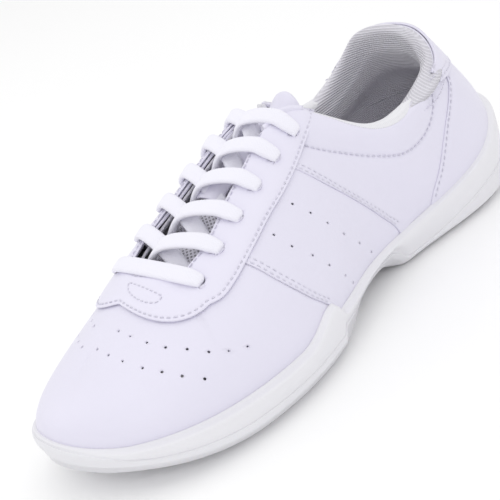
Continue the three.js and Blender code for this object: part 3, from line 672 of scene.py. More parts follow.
def sewStitches(name, group, material, look=stitchLook):
    # every stitch is the same 5 by 6 ring tube set at its centre, tangent and normal
    centre, tangent, normal = (np.concatenate(parts) for parts in zip(*stitchRows[group]))
    side = np.cross(normal, tangent)
    stops = np.array([-0.5, -0.34, 0.0, 0.34, 0.5]) * look["length"]
    crest = np.array([-0.34, 0.06, 0.14, 0.06, -0.34])
    width = np.array([0.5, 0.95, 1.0, 0.95, 0.5]) * look["thread"]
    turn = np.arange(6) * np.pi / 3
    height = crest[:, None] + 0.7 * width[:, None] * np.sin(turn)
    shape = np.stack(np.broadcast_arrays(stops[:, None], width[:, None] * np.cos(turn), height), -1)
    shape = shape.reshape(-1, 3)
    basis = np.stack([tangent, side, normal], 1)
    points = (centre[:, None] + np.einsum("kj,njc->nkc", shape, basis)).reshape(-1, 3)
    ring = np.arange(30).reshape(5, 6)
    ring = np.hstack([ring, ring[:, :1]])
    quads = np.stack([ring[:-1, :-1], ring[1:, :-1], ring[1:, 1:], ring[:-1, 1:]], -1).reshape(-1, 4)
    faces = (quads[None] + 30 * np.arange(len(centre))[:, None, None]).reshape(-1, 4).tolist()
    starts = 30 * np.arange(len(centre))
    for cap in (ring[0, :6][::-1], ring[4, :6]):
        faces += (starts[:, None] + cap[::-1][None]).tolist()
    piece = addPiece(name, points, faces, [material])
    piece.data.uv_layers.new(name="surface")
    return piece


def bendAtBall(piece):
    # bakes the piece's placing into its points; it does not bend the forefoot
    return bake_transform(piece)


# Vamp: one sheet from the outer seam round the toe to the inner seam, closed along the ridge

vampLook = {
    "thickness": 1.15,
    "columns": 190,              # half of the columns round the toe
    "rows": 84,
    "punchRadius": 0.62,
}


def vampGrid():
    half, rows = vampLook["columns"], vampLook["rows"]
    up = np.linspace(0, 1, rows)
    joint = 7.7
    sides = []
    for outer in (True, False):
        t = np.linspace(0, 1, half)
        start = seamAt("vampSeam", outer, np.linspace(0, 1, 200), joint)
        s = mix(joint, toe, t[:, None] ** 0.92) + 0 * up
        for _ in range(3):
            v = up * np.minimum(throatTop(s, outer), 1.0)
            reach = np.interp(v, np.linspace(0, 1, 200), start)
            s = reach + (toe - reach) * t[:, None] ** 0.92
            s = mix(s, mix(joint, toe, t[:, None] ** 0.92), smooth((up - 0.72) / 0.2))
        v = up * np.minimum(throatTop(s, outer), 1.0)
        sides.append((s, v))
    (sOuter, vOuter), (sInner, vInner) = sides
    s = np.vstack([sOuter, (loop - sInner)[::-1][1:]])
    v = np.vstack([vOuter, vInner[::-1][1:]])
    return s, v


vampS, vampV = vampGrid()
vampBase = skin(vampS, vampV, 0)
vampLift = 0.10 * ripple(vampBase, 34, 3) * smooth((vampV - 0.05) / 0.3)
# shallow dents where the toe box meets the ball of the foot
vampLift -= 0.35 * bell(vampBase[..., 1], -72, 7) * bell(vampV, 0.35, 0.2)
vampPoints = skin(vampS, vampV, vampLift)
half = vampLook["columns"]
ridge = vampV[:, -1] > 0.995
mirror = np.arange(2 * half - 1)[::-1]
welded = ridge & ridge[mirror]
vampPoints[welded, -1] = ((vampPoints[:, -1] + vampPoints[mirror, -1]) / 2)[welded]

# two curved rows of vents across the toe box, and the nearest panel points to punch at
toeVents = [
    (-3.7, -91.1, 49.1), (2.4, -91.4, 48.5), (8.2, -91.4, 47.2), (15.1, -90.3, 44.9), (21.3, -87.8, 42.1),
    (26.9, -83.2, 39.3), (31.9, -78.4, 35.7), (35.5, -72.6, 32.8), (38, -65.9, 30.6),
    (-7.7, -99, 45.6), (-2, -99.9, 45.5), (4.4, -100.5, 44.4), (10.8, -100.1, 42.6), (18.2, -98, 39.6),
    (23.9, -94.9, 36.7), (29.1, -91.1, 33.3), (33.9, -85.8, 29.3),
]
innerToeVents = [(-15.6, -89.2), (-20.6, -86.0), (-25.2, -81.8), (-29.2, -76.6), (-32.4, -70.8),
                 (-35.0, -64.6), (-14.6, -98.0), (-20.0, -95.4), (-25.0, -91.4), (-29.2, -86.4)]
vampKeep = np.ones((vampPoints.shape[0] - 1, vampPoints.shape[1] - 1), bool)
ventS, ventV = solveSeen(toeVents, True)
backS, backV = solveFor(innerToeVents, (0, 1), False)
for centre in np.vstack([skin(ventS, ventV, 0), skin(backS, backV, 0)]):
    punch(vampPoints, vampKeep, centre, vampLook["punchRadius"])
vampLeather = gridMesh("vampLeather", vampPoints, leatherSkin, keep=vampKeep, weld=0.02)
dropLoose(vampLeather)
thicken(vampLeather, vampLook["thickness"])
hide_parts("vamp_toe", "vamp_flex", "vamp_rear")
bendAtBall(vampLeather)

puffLook = {"depth": 1.75, "thickness": 0.7, "from": 8.4, "top": 0.86}
puffS = np.linspace(puffLook["from"], loop - puffLook["from"], 120)[:, None] + np.zeros(40)
puffLow = 1 - 0.5 * smooth((9.6 - np.minimum(puffS, loop - puffS)) / 1.2)
puffV = np.linspace(0.01, puffLook["top"], 40)[None] * puffLow
toePuff = gridMesh("toePuff", skin(puffS, puffV, -puffLook["depth"]), puffBoard)
thicken(toePuff, puffLook["thickness"])
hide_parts("toe_puff")
bendAtBall(toePuff)
print("vamp done")


# Middle panels and quarters: each laps over the panel ahead of it

flankLook = {"thickness": 1.1, "lap": 0.55, "seamRows": (1.1, 3.0), "ventRadius": 0.62}
middleVents = [
    [(25.1, -12, 58.3), (27.5, -6.8, 51.6), (28.4, -0.9, 43.7), (28.3, 5.7, 35), (27.8, 12.7, 26.5),
     (28, 17.2, 19.7)],
    [(27.1, -27.5, 53.9), (31, -24.3, 47.3), (33.2, -17.8, 39.7), (34, -12.1, 31.9), (33.8, -5.6, 23.4),
     (34, -3.3, 18.4)],
]


def flankSheet(outer, frontOf, rearOf, columns, rows):
    # rows run from the front seam back, columns climb from the sole to the panel's top
    a = finePitch(columns)[:, None]
    up = np.linspace(0, 1, rows)[None]
    s = mix(7.5, 3.0, a) + 0 * up
    for _ in range(4):
        v = up * np.minimum(throatTop(s, outer), 1.0) + 0 * a
        s = mix(frontOf(v), rearOf(v), a)
    v = up * np.minimum(throatTop(s, outer), 1.0) + 0 * a
    return s, v


def sewnChannels(distance, rows, width):
    # depth of the shallow channels that rows of stitches pull into a sheet
    return stitchLook["sunk"] * sum(bell(distance, row, width) for row in rows)


def lapLift(fromFront):
    # the front edge stands on the panel beneath and settles over the next few millimetres
    return flankLook["lap"] * (1 - smooth(fromFront / 11)) - edgeRoll(fromFront, 0.5)


def seamStitches(group, frontOf, outer, lift, distances):
    # rows that follow a panel's front edge at fixed distances behind it
    v = np.linspace(0.13, 0.8, 160)
    s = frontOf(v)
    here = skin(sideS(s, outer), v, 0)
    back = skin(sideS(s - 0.05, outer), v, 0)
    perMillimetre = 0.05 / np.linalg.norm(back - here, axis=-1)
    for distance in distances:
        at = sideS(s - distance * perMillimetre, outer)
        stitchRow(group, skin(at, v, lift(distance) + 0.02), upperNormal(at, v))


collarLine = {}
for outer in (True, False):
    s, v = seamOf("collarArc", outer, 240)
    collarLine[outer] = (skin(s, v, 0), upperNormal(s, v))

for outer, word, cadName in ((True, "Outer", "lateral"), (False, "Inner", "medial")):
    ahead = lambda v: seamAt("vampSeam", outer, v)
    behind = lambda v: seamAt("quarterSeam", outer, v)
    # middle panel, carried 7 mm under the quarter
    s, v = flankSheet(outer, ahead, lambda v: behind(v) - 0.24, 118, 120)
    base = skin(sideS(s, outer), v, 0)
    front, _, _, _ = marginsOf(base)
    underQuarter = smooth((behind(v) - s) / 0.1 + 0.3)
    lift = lapLift(front) - 0.75 * underQuarter + 0.07 * ripple(base, 30, 5)
    lift -= sewnChannels(front, flankLook["seamRows"], 0.55)
    points = skin(sideS(s, outer), v, lift)
    keep = np.ones((points.shape[0] - 1, points.shape[1] - 1), bool)
    for row in middleVents:
        seenS, seenV = solveSeen(row, True)
        for centre in skin(sideS(seenS, outer), seenV, 0):
            punch(points, keep, centre, flankLook["ventRadius"])
    panel = gridMesh("middlePanel" + word, points, leatherSkin, keep=keep, flip=outer)
    dropLoose(panel)
    thicken(panel, flankLook["thickness"])
    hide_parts("mid_panel_" + cadName)
    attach(panel, "rearfoot")
    seamStitches("leather", ahead, outer, lambda d: lapLift(np.array(d)) - 0.1, flankLook["seamRows"])

    # quarter, from its seam back to the heel
    s, v = flankSheet(outer, behind, lambda v: 0 * v - 0.04, 170, 128)
    base = skin(sideS(s, outer), v, 0)
    front, _, foot, top = marginsOf(base)
    arc, arcNormal = collarLine[outer]
    toArc = distanceTo(base, arc)
    arcHeight = np.interp(base[..., 1], arc[:, 1], arc[:, 2], left=90, right=90)
    aboveArc = smooth((base[..., 2] - arcHeight) / 3 + 0.5)
    lift = lapLift(front) + 0.07 * ripple(base, 30, 7)
    lift += 1.5 * aboveArc * smooth(toArc / 9) * smooth(top / 3) - 0.55 * bell(toArc, 0, 1.1)
    lift -= sewnChannels(front, flankLook["seamRows"], 0.55)
    points = skin(sideS(s, outer), v, lift)
    panel = gridMesh("quarter" + word, points, leatherSkin, flip=outer)
    thicken(panel, flankLook["thickness"])
    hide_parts("quarter_" + cadName)
    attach(panel, "rearfoot")
    seamStitches("leather", behind, outer, lambda d: lapLift(np.array(d)) - 0.1, flankLook["seamRows"])
    stitchRow("leather", arc + arcNormal * -0.25, arcNormal)
print("side panels done")


# Eyestay: a band round the throat from the outer topline, across the toe end, to the inner topline

eyestayLook = {"lift": 1.85, "thickness": 1.2, "along": 470, "across": 46, "stitchInset": 1.6}


def eyestayEdges():
    inner = chartLine(throatLine[True], throatLine[False], 400)
    halves = []
    for outer in (True, False):
        s, v = seamOf("eyestayEdge", outer, 90)
        ahead, v = sideS(s, outer), v + 0.02
        last = (ahead[-1], v[-1])
        # round the toe end of the band on to the ridge
        t = np.linspace(0, 1, 30)[1:] * np.pi / 2
        roundS = last[0] + (8.66 - last[0]) * np.sin(t)
        roundV = last[1] + (1 - last[1]) * (1 - np.cos(t))
        ahead, v = np.append(ahead, roundS), np.append(v, roundV)
        halves.append((sideS(ahead, outer), v))
    outside = chartLine(halves[0], halves[1], 400)
    return inner, outside


def markAlong(line, marks):
    # a chart line resampled so that each mark's place falls at its share of the length
    points = chartPoint(line[:, 0], line[:, 1], 0 * line[:, 0])
    length = lengthAlong(points)
    length /= length[-1]
    return np.stack([np.interp(marks, length, line[:, i]) for i in range(2)], -1)


throatEdge, bandEdge = eyestayEdges()
u = np.linspace(0, 1, eyestayLook["along"])
innerMarks = np.interp(u, [0, 0.37, 0.455, 0.545, 0.63, 1], [0, 0.415, 0.455, 0.545, 0.585, 1])
outerMarks = np.interp(u, [0, 0.37, 0.44, 0.56, 0.63, 1], [0, 0.325, 0.425, 0.575, 0.675, 1])
near, rim = markAlong(throatEdge, innerMarks), markAlong(bandEdge, outerMarks)
w = finePitch(eyestayLook["across"], (0, 0.012, 0.028, 0.05))
band = near[:, None] * (1 - w[None, :, None]) + rim[:, None] * w[None, :, None]
bandBase = chartPoint(band[..., 0], band[..., 1], np.zeros(band.shape[:2]))
_, _, fromThroat, fromRim = marginsOf(bandBase)
bandLift = eyestayLook["lift"] - edgeRoll(fromRim, 0.55) - edgeRoll(fromThroat, 0.5)
bandLift -= 0.45 * (1 - smooth(fromRim / 5)) + 0.5 * (1 - smooth(fromThroat / 4))
inset = eyestayLook["stitchInset"]
bandLift -= 0.17 * (bell(fromRim, inset, 0.6) + bell(fromThroat, inset, 0.6))
bandLift += 0.08 * ripple(bandBase, 26, 11)
bandPoints = chartPoint(band[..., 0], band[..., 1], bandLift)
bandKeep = np.ones((bandPoints.shape[0] - 1, bandPoints.shape[1] - 1), bool)
for side in ("outer", "inner"):
    hs, hv = eyeletPlace[side]
    for centre in skin(hs, hv, eyestayLook["lift"]):
        punch(bandPoints, bandKeep, centre, eyeletSpan["radius"])
eyestay = gridMesh("eyestayBand", bandPoints, eyestaySkin, keep=bandKeep, flip=True)
dropLoose(eyestay)
thicken(eyestay, eyestayLook["thickness"])
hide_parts("eyestay")
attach(eyestay, "rearfoot")


def bandRow(distance, fromEdge, lowShare=0.0, highShare=1.0):
    # a stitch row at a distance from one edge of the band
    share = np.array([np.interp(distance, fromEdge[i][::step], w[::step]) for i, step in
                      ((k, 1 if fromEdge[k, 0] < 1 else -1) for k in range(len(u)))])
    line = near * (1 - share[:, None]) + rim * share[:, None]
    use = (u >= lowShare) & (u <= highShare)
    q = line[use]
    lift = eyestayLook["lift"] - 0.12 - 0.3 * (fromEdge is fromRim)
    places = chartPoint(*q.T, np.full(len(q), lift))
    normals = chartPoint(*q.T, np.ones(len(q))) - chartPoint(*q.T, np.zeros(len(q)))
    return places, normals


for edge in (fromRim, fromThroat):
    stitchRow("leather", *bandRow(inset, edge, 0.015, 0.985))
# half-moon tack on the toe end of the band
tackTop = np.stack([np.linspace(10.6, -8.0, 40), np.linspace(-73.2, -71.6, 40)], -1)
bow = np.linspace(0, np.pi, 60)
tackBow = np.stack([1.3 + 9.3 * np.cos(bow) + 1.5 * np.sin(bow),
                    -72.4 - 0.8 * np.cos(bow) - 5.0 * np.sin(bow) ** 0.8], -1)
for line in (tackTop, tackBow):
    outer = line[:, 0] > -7.4
    s, v = np.zeros(len(line)), np.zeros(len(line))
    for flag in (True, False):
        if (outer == flag).any():
            s[outer == flag], v[outer == flag] = solveFor(line[outer == flag], (0, 1), flag)
    stitchRow("leather", skin(s, v, eyestayLook["lift"]), upperNormal(s, v), {**stitchLook, "pitch": 2.2})
print("eyestay done")


# Heel overlay and heel patch

heelLook = {"lift": 0.95, "patchRise": 0.6, "thickness": 1.1, "seamHeight": 62.8, "foot": 0.02,
            "stitchBackset": 0.075}


def heelSheet(frontKey, lowOf, highOf, columns, rows):
    # symmetric about the back seam: s runs from the inner front edge (negative) to the outer one
    a = mix(-1, 1, finePitch(columns))[:, None]
    up = finePitch(rows)[None]
    s = 3.2 * a + 0 * up
    v = up + 0 * a
    marks = np.linspace(0, 1, 300)
    front = {outer: seamAt(frontKey, outer, marks) for outer in (True, False)}
    for _ in range(5):
        wrapped = s % loop
        v = mix(lowOf(wrapped), highOf(wrapped), up)
        limit = np.where(a > 0, np.interp(v, marks, front[True]), np.interp(v, marks, front[False]))
        s = limit * a
    return s % loop, v


s, v = heelSheet("overlayFront", lambda s: 0 * s + heelLook["foot"],
                 lambda s: climbTo(s, heelLook["seamHeight"] + 2.5), 190, 78)
base = skin(s, v, 0)
start, end, foot, top = marginsOf(base)
side = np.minimum(start, end)
lift = heelLook["lift"] - edgeRoll(side, 0.5) - 0.25 * (1 - smooth(side / 5)) + 0.06 * ripple(base, 30, 13)
lift -= sewnChannels(side, [1.6], 0.6) + 0.8 * (1 - smooth(top / 3))
heelOverlay = gridMesh("heelOverlay", skin(s, v, lift), leatherSkin)
thicken(heelOverlay, heelLook["thickness"])
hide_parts("heel_overlay")
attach(heelOverlay, "rearfoot")

s, v = heelSheet("patchFront", lambda s: climbTo(s, heelLook["seamHeight"] - 0.5), np.ones_like, 130, 56)
base = skin(s, v, 0)
start, end, foot, top = marginsOf(base)
side = np.minimum(start, end)
lift = (heelLook["lift"] + heelLook["patchRise"] - edgeRoll(side, 0.5) - edgeRoll(foot, 0.5)
        - 0.3 * (1 - smooth(side / 5)))
lift += 0.35 * smooth(foot / 9) * smooth(top / 6) * smooth(side / 10) + 0.06 * ripple(base, 24, 17)
lift -= sewnChannels(foot, [1.5, 3.6], 0.6) + sewnChannels(side, [1.6], 0.6)
heelPatch = gridMesh("heelPatch", skin(s, v, lift), leatherSkin)
thicken(heelPatch, heelLook["thickness"])
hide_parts("heel_patch")
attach(heelPatch, "rearfoot")
for outer in (True, False):
    v = np.linspace(0.1, 0.97, 150) * climbTo(np.array([sideS(2.6, outer)]), 63.0)[0]
    at = sideS(seamAt("overlayFront", outer, v) - heelLook["stitchBackset"], outer)
    stitchRow("leather", skin(at, v, heelLook["lift"] - 0.12), upperNormal(at, v))
across = np.linspace(-2.45, 2.45, 260) % loop
for height in (1.3, 3.4):
    v = climbTo(across, heelLook["seamHeight"] + height)
    seamLift = heelLook["lift"] + heelLook["patchRise"] - 0.05
    stitchRow("leather", skin(across, v, seamLift), upperNormal(across, v))
print("heel done")


# Padded collar, lining and topline binding

innerLook = {
    "liningDepth": 2.8, "liningThickness": 1.0, "collarPad": 4.5,
    "rollHeel": 6.0,             # how far the knit rolls down the outside behind the ankle
    "rollFront": 1.2,
    "liningTop": 49.0, "padFoot": 45.5,
}


def padAt(s, v):
    # extra depth of the padded collar: over the upper half of the wall, fading out at the throat
    return (innerLook["collarPad"] * smooth((v - 0.5) / 0.22) * (1 - 0.45 * smooth((v - 0.85) / 0.15))
            * (1 - smooth((fromHeel(s) - 4.3) / 0.9)))


def liningGrid():
    half, rows = 150, 60
    up = np.linspace(0, 1, rows)
    sides = []
    for outer in (True, False):
        ahead = mix(0, toe, np.linspace(0, 1, half))
        s = sideS(ahead, outer) % loop
        low = climbTo(s, innerLook["liningTop"])
        top = mix(low, np.minimum(throatTop(ahead, outer), 1.0), smooth((ahead - 4.82) / 0.12))
        sides.append((s[:, None] + 0 * up, top[:, None] * up))
    s = np.vstack([sides[0][0], sides[1][0][::-1][1:-1]])
    v = np.vstack([sides[0][1], sides[1][1][::-1][1:-1]])
    return s, v


s, v = liningGrid()
count = len(s)
# along the throat the lining comes up under the leather
closing = ((1 - smooth((v[:, -1:] - v) / 0.10)) * (v[:, -1:] < 0.995)
           * smooth((np.minimum(s, loop - s) - 4.85) / 0.2))
depth = innerLook["liningDepth"] + padAt(s, v) + 0.25 * smooth((v - 0.02) / 0.05) - 1.5 * closing
lining = skin(s, v, -depth)
mirror = (-np.arange(count)) % count
ridge = v[:, -1] > 0.995
joined = ridge & ridge[mirror]
lining[joined, -1] = ((lining[:, -1] + lining[mirror, -1]) / 2)[joined]
shoeLining = gridMesh("shoeLining", lining, liningKnit, closeAlong=True, weld=0.02)
thicken(shoeLining, innerLook["liningThickness"])
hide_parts("vamp_lining_toe", "vamp_lining_flex", "quarter_lining")
bendAtBall(shoeLining)

ringS = mix(-4.9, 4.9, np.linspace(0, 1, 420))
ringHeel = smooth((3.5 - np.abs(ringS)) / 1.1)
edge = upper(ringS % loop, np.ones_like(ringS))
edgeOut = upperNormal(ringS % loop, np.ones_like(ringS))
edgeUp = unit(edge - upper(ringS % loop, np.full_like(ringS, 0.97)))
edgeUp = unit(edgeUp - (edgeUp * edgeOut).sum(-1, keepdims=True) * edgeOut)
wall = innerLook["liningDepth"] + innerLook["liningThickness"] + padAt(ringS, np.ones_like(ringS))


def fromEdge(out, up):
    return edge[:, None] + out[..., None] * edgeOut[:, None] + up[..., None] * edgeUp[:, None]


def curveThrough(rows, count):
    # Catmull-Rom across the second axis of an array of control points, equal steps per span
    first, last = 2 * rows[:, :1] - rows[:, 1:2], 2 * rows[:, -1:] - rows[:, -2:-1]
    full = np.concatenate([first, rows, last], 1)
    t = np.linspace(0, rows.shape[1] - 1, count)
    k = np.clip(t.astype(int), 0, rows.shape[1] - 2)
    f = (t - k)[None, :, None]
    a, b, c, d = (full[:, k + i] for i in range(4))
    return 0.5 * (2 * b + (c - a) * f + (2 * a - 5 * b + 4 * c - d) * f ** 2
                  + (3 * b - a - 3 * c + d) * f ** 3)


# section of the pad: under the leather outside, over the topline, down the inside, back up behind
reach = mix(innerLook["rollFront"], innerLook["rollHeel"], ringHeel)
reach -= 2.6 * bell(np.abs(ringS), 2.5, 0.65)
proud = mix(-0.8, 1.15, ringHeel) + 1.3 * bell(np.abs(ringS), 2.55, 0.5)
topUp = mix(0.6, 2.6, ringHeel) + 3.6 * bell(ringS, -1.75, 0.7)
padV = np.linspace(0.97, 0, 14)[None]
lowV = climbTo(ringS % loop, innerLook["padFoot"])[:, None]
insideV = lowV + (0.93 - lowV) * padV
insideS = (ringS % loop)[:, None] + 0 * insideV
endFade = 1 - smooth((np.abs(ringS) - 4.45) / 0.45)
inside = skin(insideS, insideV, -(
    innerLook["liningDepth"] + innerLook["liningThickness"] * endFade[:, None] + 0.4
    + padAt(insideS, insideV)))
backV = lowV + (0.93 - lowV) * np.linspace(0, 1, 6)[None]
behindPad = skin((ringS % loop)[:, None] + 0 * backV, backV, -2.1)
rim = fromEdge(
    np.stack([0 * reach - 1.6, proud - 0.9, proud, proud * 0.75 - 0.1, -0.32 * wall, -0.68 * wall, -wall], 1),
    np.stack([-reach - 2, -reach - 1.4, -reach, -reach * 0.45, topUp * 0.95, topUp, topUp * 0.35], 1))
section = np.concatenate([rim, inside, behindPad], 1)
section = curveThrough(np.concatenate([section, section[:, :1]], 1), 150)[:, :-1]
section += 0.18 * ripple(section, 22, 23)[..., None] * np.array([0.5, 0.5, 1])
# the ribs run level round the inside and cross the roll over the outer topline
across = smooth((section[..., 0] - 8) / 14)
rib = section[..., 2] + across * (0.36 * (section[..., 1] - 75) + 0.575 * (section[..., 0] - 28))
along = lengthAlong(edge)[:, None] + 0 * rib
collarPad = gridMesh("collarPad", section, collarKnit, closeAcross=True, capEnds=True,
                     chart=np.stack([along, rib], -1) / 1000)
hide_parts("collar_foam", "collar_lining")
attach(collarPad, "rearfoot")

# binding: a tape folded over the topline in front, running out where the knit rolls over
tapeFade = smooth((np.abs(ringS) - 2.5) / 0.9)
tapeEnd = 1 - 0.35 * smooth((np.abs(ringS) - 4.1) / 0.6)
tapeOut = (np.array([-0.9, 0.55, 1.15, 1.2, 0.75])[None] * tapeFade[:, None]
           + np.array([-1.9] * 5) * (1 - tapeFade[:, None]))
tapeUp = np.array([-2.5, -2.2, -1.8, -0.8, 0.7])[None] + 0 * tapeOut
overOut = np.array([0.25, 0.55, 0.85, 1.03, 0.9])[None] * -wall[:, None]
overUp = (np.array([1.75, 2.0, 1.4, -0.6, -2.4])[None]
          * mix(0.3, 1, tapeFade)[:, None] * tapeEnd[:, None] + 0.1)
tape = fromEdge(np.concatenate([tapeOut, overOut, -wall[:, None] * 0.5], 1),
                np.concatenate([tapeUp, overUp, 0 * wall[:, None] - 2.2], 1))
tape = curveThrough(np.concatenate([tape, tape[:, :1]], 1), 64)[:, :-1]
toplineTape = gridMesh("toplineBinding", tape, bindingTape, closeAcross=True, capEnds=True)
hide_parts("topline_binding")
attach(toplineTape, "rearfoot")
down = mix(3.3, innerLook["rollHeel"] + 2.2, ringHeel)
for sign in (1, -1):
    use = (ringS * sign > 0.9) & (ringS * sign < 4.75)
    row = edge[use] - down[use, None] * edgeUp[use] + mix(0.12, 0.9, ringHeel)[use, None] * edgeOut[use]
    stitchRow("collar", row, edgeOut[use], {**stitchLook, "pitch": 2.6})
print("collar and lining done")


# Cup sole: walls follow the feather edge outset by outset, underside and top are ruled across

soleLook = {
    "thickness": 3.5, "toeSpring": 11.0, "archRise": 5.0, "heelBevel": 3.5, "seatDrop": 3.0,
    "stripHeel": 15.0, "grooveDepth": 0.9,
    "insert": {"x": 0.0, "y": 84.0, "halfWidth": 19.0, "halfLength": 25.0, "depth": 2.0},
}


def groundHeight(y):
    # toe spring as a power curve, a smooth arch under the waist, a bevel behind the heel
    spring = soleLook["toeSpring"] * np.clip((-76 - y) / 58, 0, 1) ** 1.7
    arch = soleLook["archRise"] * smooth((y + 22) / 26) * (1 - smooth((y - 20) / 22))
    bevel = soleLook["heelBevel"] * np.clip((y - 108) / 22, 0, 1) ** 2
    return spring + arch + bevel


def forepart(s):
    # 1 along the forefoot, falling off abruptly behind the bumper at the ball
    return smooth((fromHeel(s) - 6.2) / 0.17)


def heelpart(s):
    # 1 round the heel, falling off ahead of it
    return smooth((4.62 - fromHeel(s)) / 0.4)


def rimHeight(s):
    bump = 6.5 * bell(s, 6.42, 0.36) + 3 * bell(s, 15.6, 0.4)
    return np.maximum(around(soleRow, s)[..., 1] + bump * forepart(s), around(feather, s)[..., 2] + 1.5)


def besideFeather(s, outset, height):
    point = around(feather, s) + outward(s) * outset[..., None]
    point[..., 2] = height(point) if callable(height) else height
    return point


def wallStops(s):
    # control points of the sole wall at station s, from the ground edge to the lip on the leather
    outset, rim, rimOut = around(soleRow, s)[..., 0], rimHeight(s), around(soleRow, s)[..., 2]
    base = besideFeather(s, outset, lambda p: groundHeight(p[..., 1]))
    ground = base[..., 2]
    lip = climbTo(s, rim)
    fore, heel = forepart(s), heelpart(s)
    waist = np.clip(1 - fore - heel, 0, 1)
    # how far the underside draws in below the wall, and how high the turn lies
    inset = 10.0 * fore + 13.0 * waist + 6.0 * heel
    knee = 6.4 * fore + (rim - ground - 4.2) * waist + 4.2 * heel
    outset = outset - 0.9 * fore - 0.6 * waist - 0.6 * heel
    bend, shelf = ground + knee + 1.6, rim - 0.7
    wall = [
        (outset - inset, ground), (outset - 0.62 * inset, ground + 0.16 * knee),
        (outset - 0.2 * inset, ground + 0.55 * knee), (outset + 0.9, ground + knee),
        (outset + 1.3, bend), (mix(outset, rimOut, 0.7) + 1.2, mix(bend, shelf, 0.5)),
        (rimOut + 0.75, mix(bend, shelf, 0.8)), (rimOut + 0.35, shelf)]
    stops = [besideFeather(s, out, height) for out, height in wall]
    stops += [skin(s, lip, 1.5) + [0, 0, 0.25], skin(s, lip + 0.012, 0.3), skin(s, lip, -0.6)]
    return np.stack(stops, 1)


halfS = toe * np.linspace(0, 1, 340)
wallCurve = {outer: curveThrough(wallStops(sideS(halfS, outer) % loop), 101) for outer in (True, False)}


def stripTop(s):
    # height of the outsole's upper edge above the ground: low along the sides, up the toe and heel
    y = around(feather, s % loop)[..., 1]
    ground, rim = groundHeight(y), rimHeight(s % loop)
    toeCap = smooth((fromHeel(s) - 9.15) / 1.0)
    low = 9.2 * forepart(s) + (rim - ground - 4.4) * np.clip(1 - forepart(s) - heelpart(s), 0, 1)
    low += mix(5.0, soleLook["stripHeel"], smooth((y - 46) / 66)) * heelpart(s)
    return ground + mix(low, rim - 0.9 - ground, toeCap)


def wallPart(curve, s, fromTop, count):
    # the curve below (or above) the outsole's upper edge, resampled to count points
    z, belowLip = curve[..., 2], 82
    steps = np.linalg.norm(np.diff(curve, axis=1), axis=-1)
    length = np.concatenate([np.zeros((len(z), 1)), np.cumsum(steps, 1)], 1)
    cut = np.array([np.interp(top, np.maximum.accumulate(climb[:belowLip]), run[:belowLip])
                    for top, climb, run in zip(stripTop(s), z, length)])
    t = np.linspace(0, 1, count)[None]
    marks = mix(cut[:, None] - 0.9, length[:, -1:], t) if fromTop else cut[:, None] * t
    part = np.stack([[np.interp(at, run, line[:, k]) for k in range(3)]
                     for at, run, line in zip(marks, length, curve)])
    return part.transpose(0, 2, 1)


def ruled(a, b, count):
    t = np.linspace(0, 1, count + 2)[1:-1][None, :, None]
    return a[:, None] * (1 - t) + b[:, None] * t


outerS, innerS = halfS % loop, (loop - halfS) % loop
push = lambda s: outward(s)[:, None]
skirt = {outer: wallPart(wallCurve[outer], sideS(halfS, outer), False, 26) for outer in (True, False)}


def outsoleSection(outer):
    s = sideS(halfS, outer) % loop
    side = skirt[outer] + 0.5 * push(s) * smooth(np.linspace(0, 1, 26) * 4)[None, :, None]
    # rounded upper edge, then down the hidden side of the flange
    top = side[:, -1]
    over = top - 0.35 * outward(s) + [0, 0, 0.22]
    hidden = top - 1.3 * outward(s) + [0, 0, -0.1]
    foot = skirt[outer][:, 8] - 1.9 * outward(s)
    foot[:, 2] = np.minimum(groundHeight(foot[:, 1]) + 3.2, hidden[:, 2])
    return np.concatenate([side, over[:, None], hidden[:, None], foot[:, None]], 1)


def treadDepth(x, y):
    # flex grooves across the waist, arcs under the forefoot, a wavy groove ahead of the heel
    cut = lambda gap, width: np.exp(-((gap / width) ** 4))
    depth = 0 * x
    for row in np.linspace(-28, 22, 7):
        depth = np.maximum(depth, cut(y - row - 0.002 * x ** 2, 0.9) * smooth((17 - np.abs(x - 1)) / 3))
    for radius in np.arange(11, 62, 5.2):
        away = np.hypot((x - 3) * 0.95, y + 74)
        depth = np.maximum(depth, cut(away - radius, 0.8) * smooth((-y - 33) / 4))
    depth = np.maximum(depth, cut(y - 40 - 2.2 * np.sin(x / 4.2), 0.9))
    depth = np.maximum(depth, cut(y + 34 - 1.6 * np.sin(x / 5), 0.9))
    insert = soleLook["insert"]
    oval = np.hypot((x - insert["x"]) / insert["halfWidth"], (y - insert["y"]) / insert["halfLength"])
    for share in (1.16, 1.32, 1.48):
        depth = np.maximum(depth, cut((oval - share) * 20, 0.7) * smooth((y - 45) / 4))
    return soleLook["grooveDepth"] * depth, oval


left, right = outsoleSection(True), outsoleSection(False)
across = 120
underside = ruled(right[:, 0], left[:, 0], across)
depth, oval = treadDepth(underside[..., 0], underside[..., 1])
edgeFade = np.minimum(np.arange(1, across + 1), np.arange(across, 0, -1))[None] * np.linalg.norm(
    right[:, 0] - left[:, 0], axis=-1)[:, None] / across
insert = soleLook["insert"]
centre = np.array([insert["x"], insert["y"]])
snap = np.abs(oval - 1) < 0.018
underside[snap, :2] = centre + (underside[snap, :2] - centre) / oval[snap][:, None]
underside[..., 2] = groundHeight(underside[..., 1]) + np.where(
    oval < 0.999, insert["depth"], depth * smooth((edgeFade - 3.5) / 2))
deck = ruled(left[:, -1], right[:, -1], 12)
outsoleRubber = gridMesh(
    "outsoleRubber", np.concatenate([left, deck, right[:, ::-1], underside], 1), soleRubber,
    closeAcross=True, weld=0.004)
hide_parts("outsole_front", "outsole_rear")
bendAtBall(outsoleRubber)


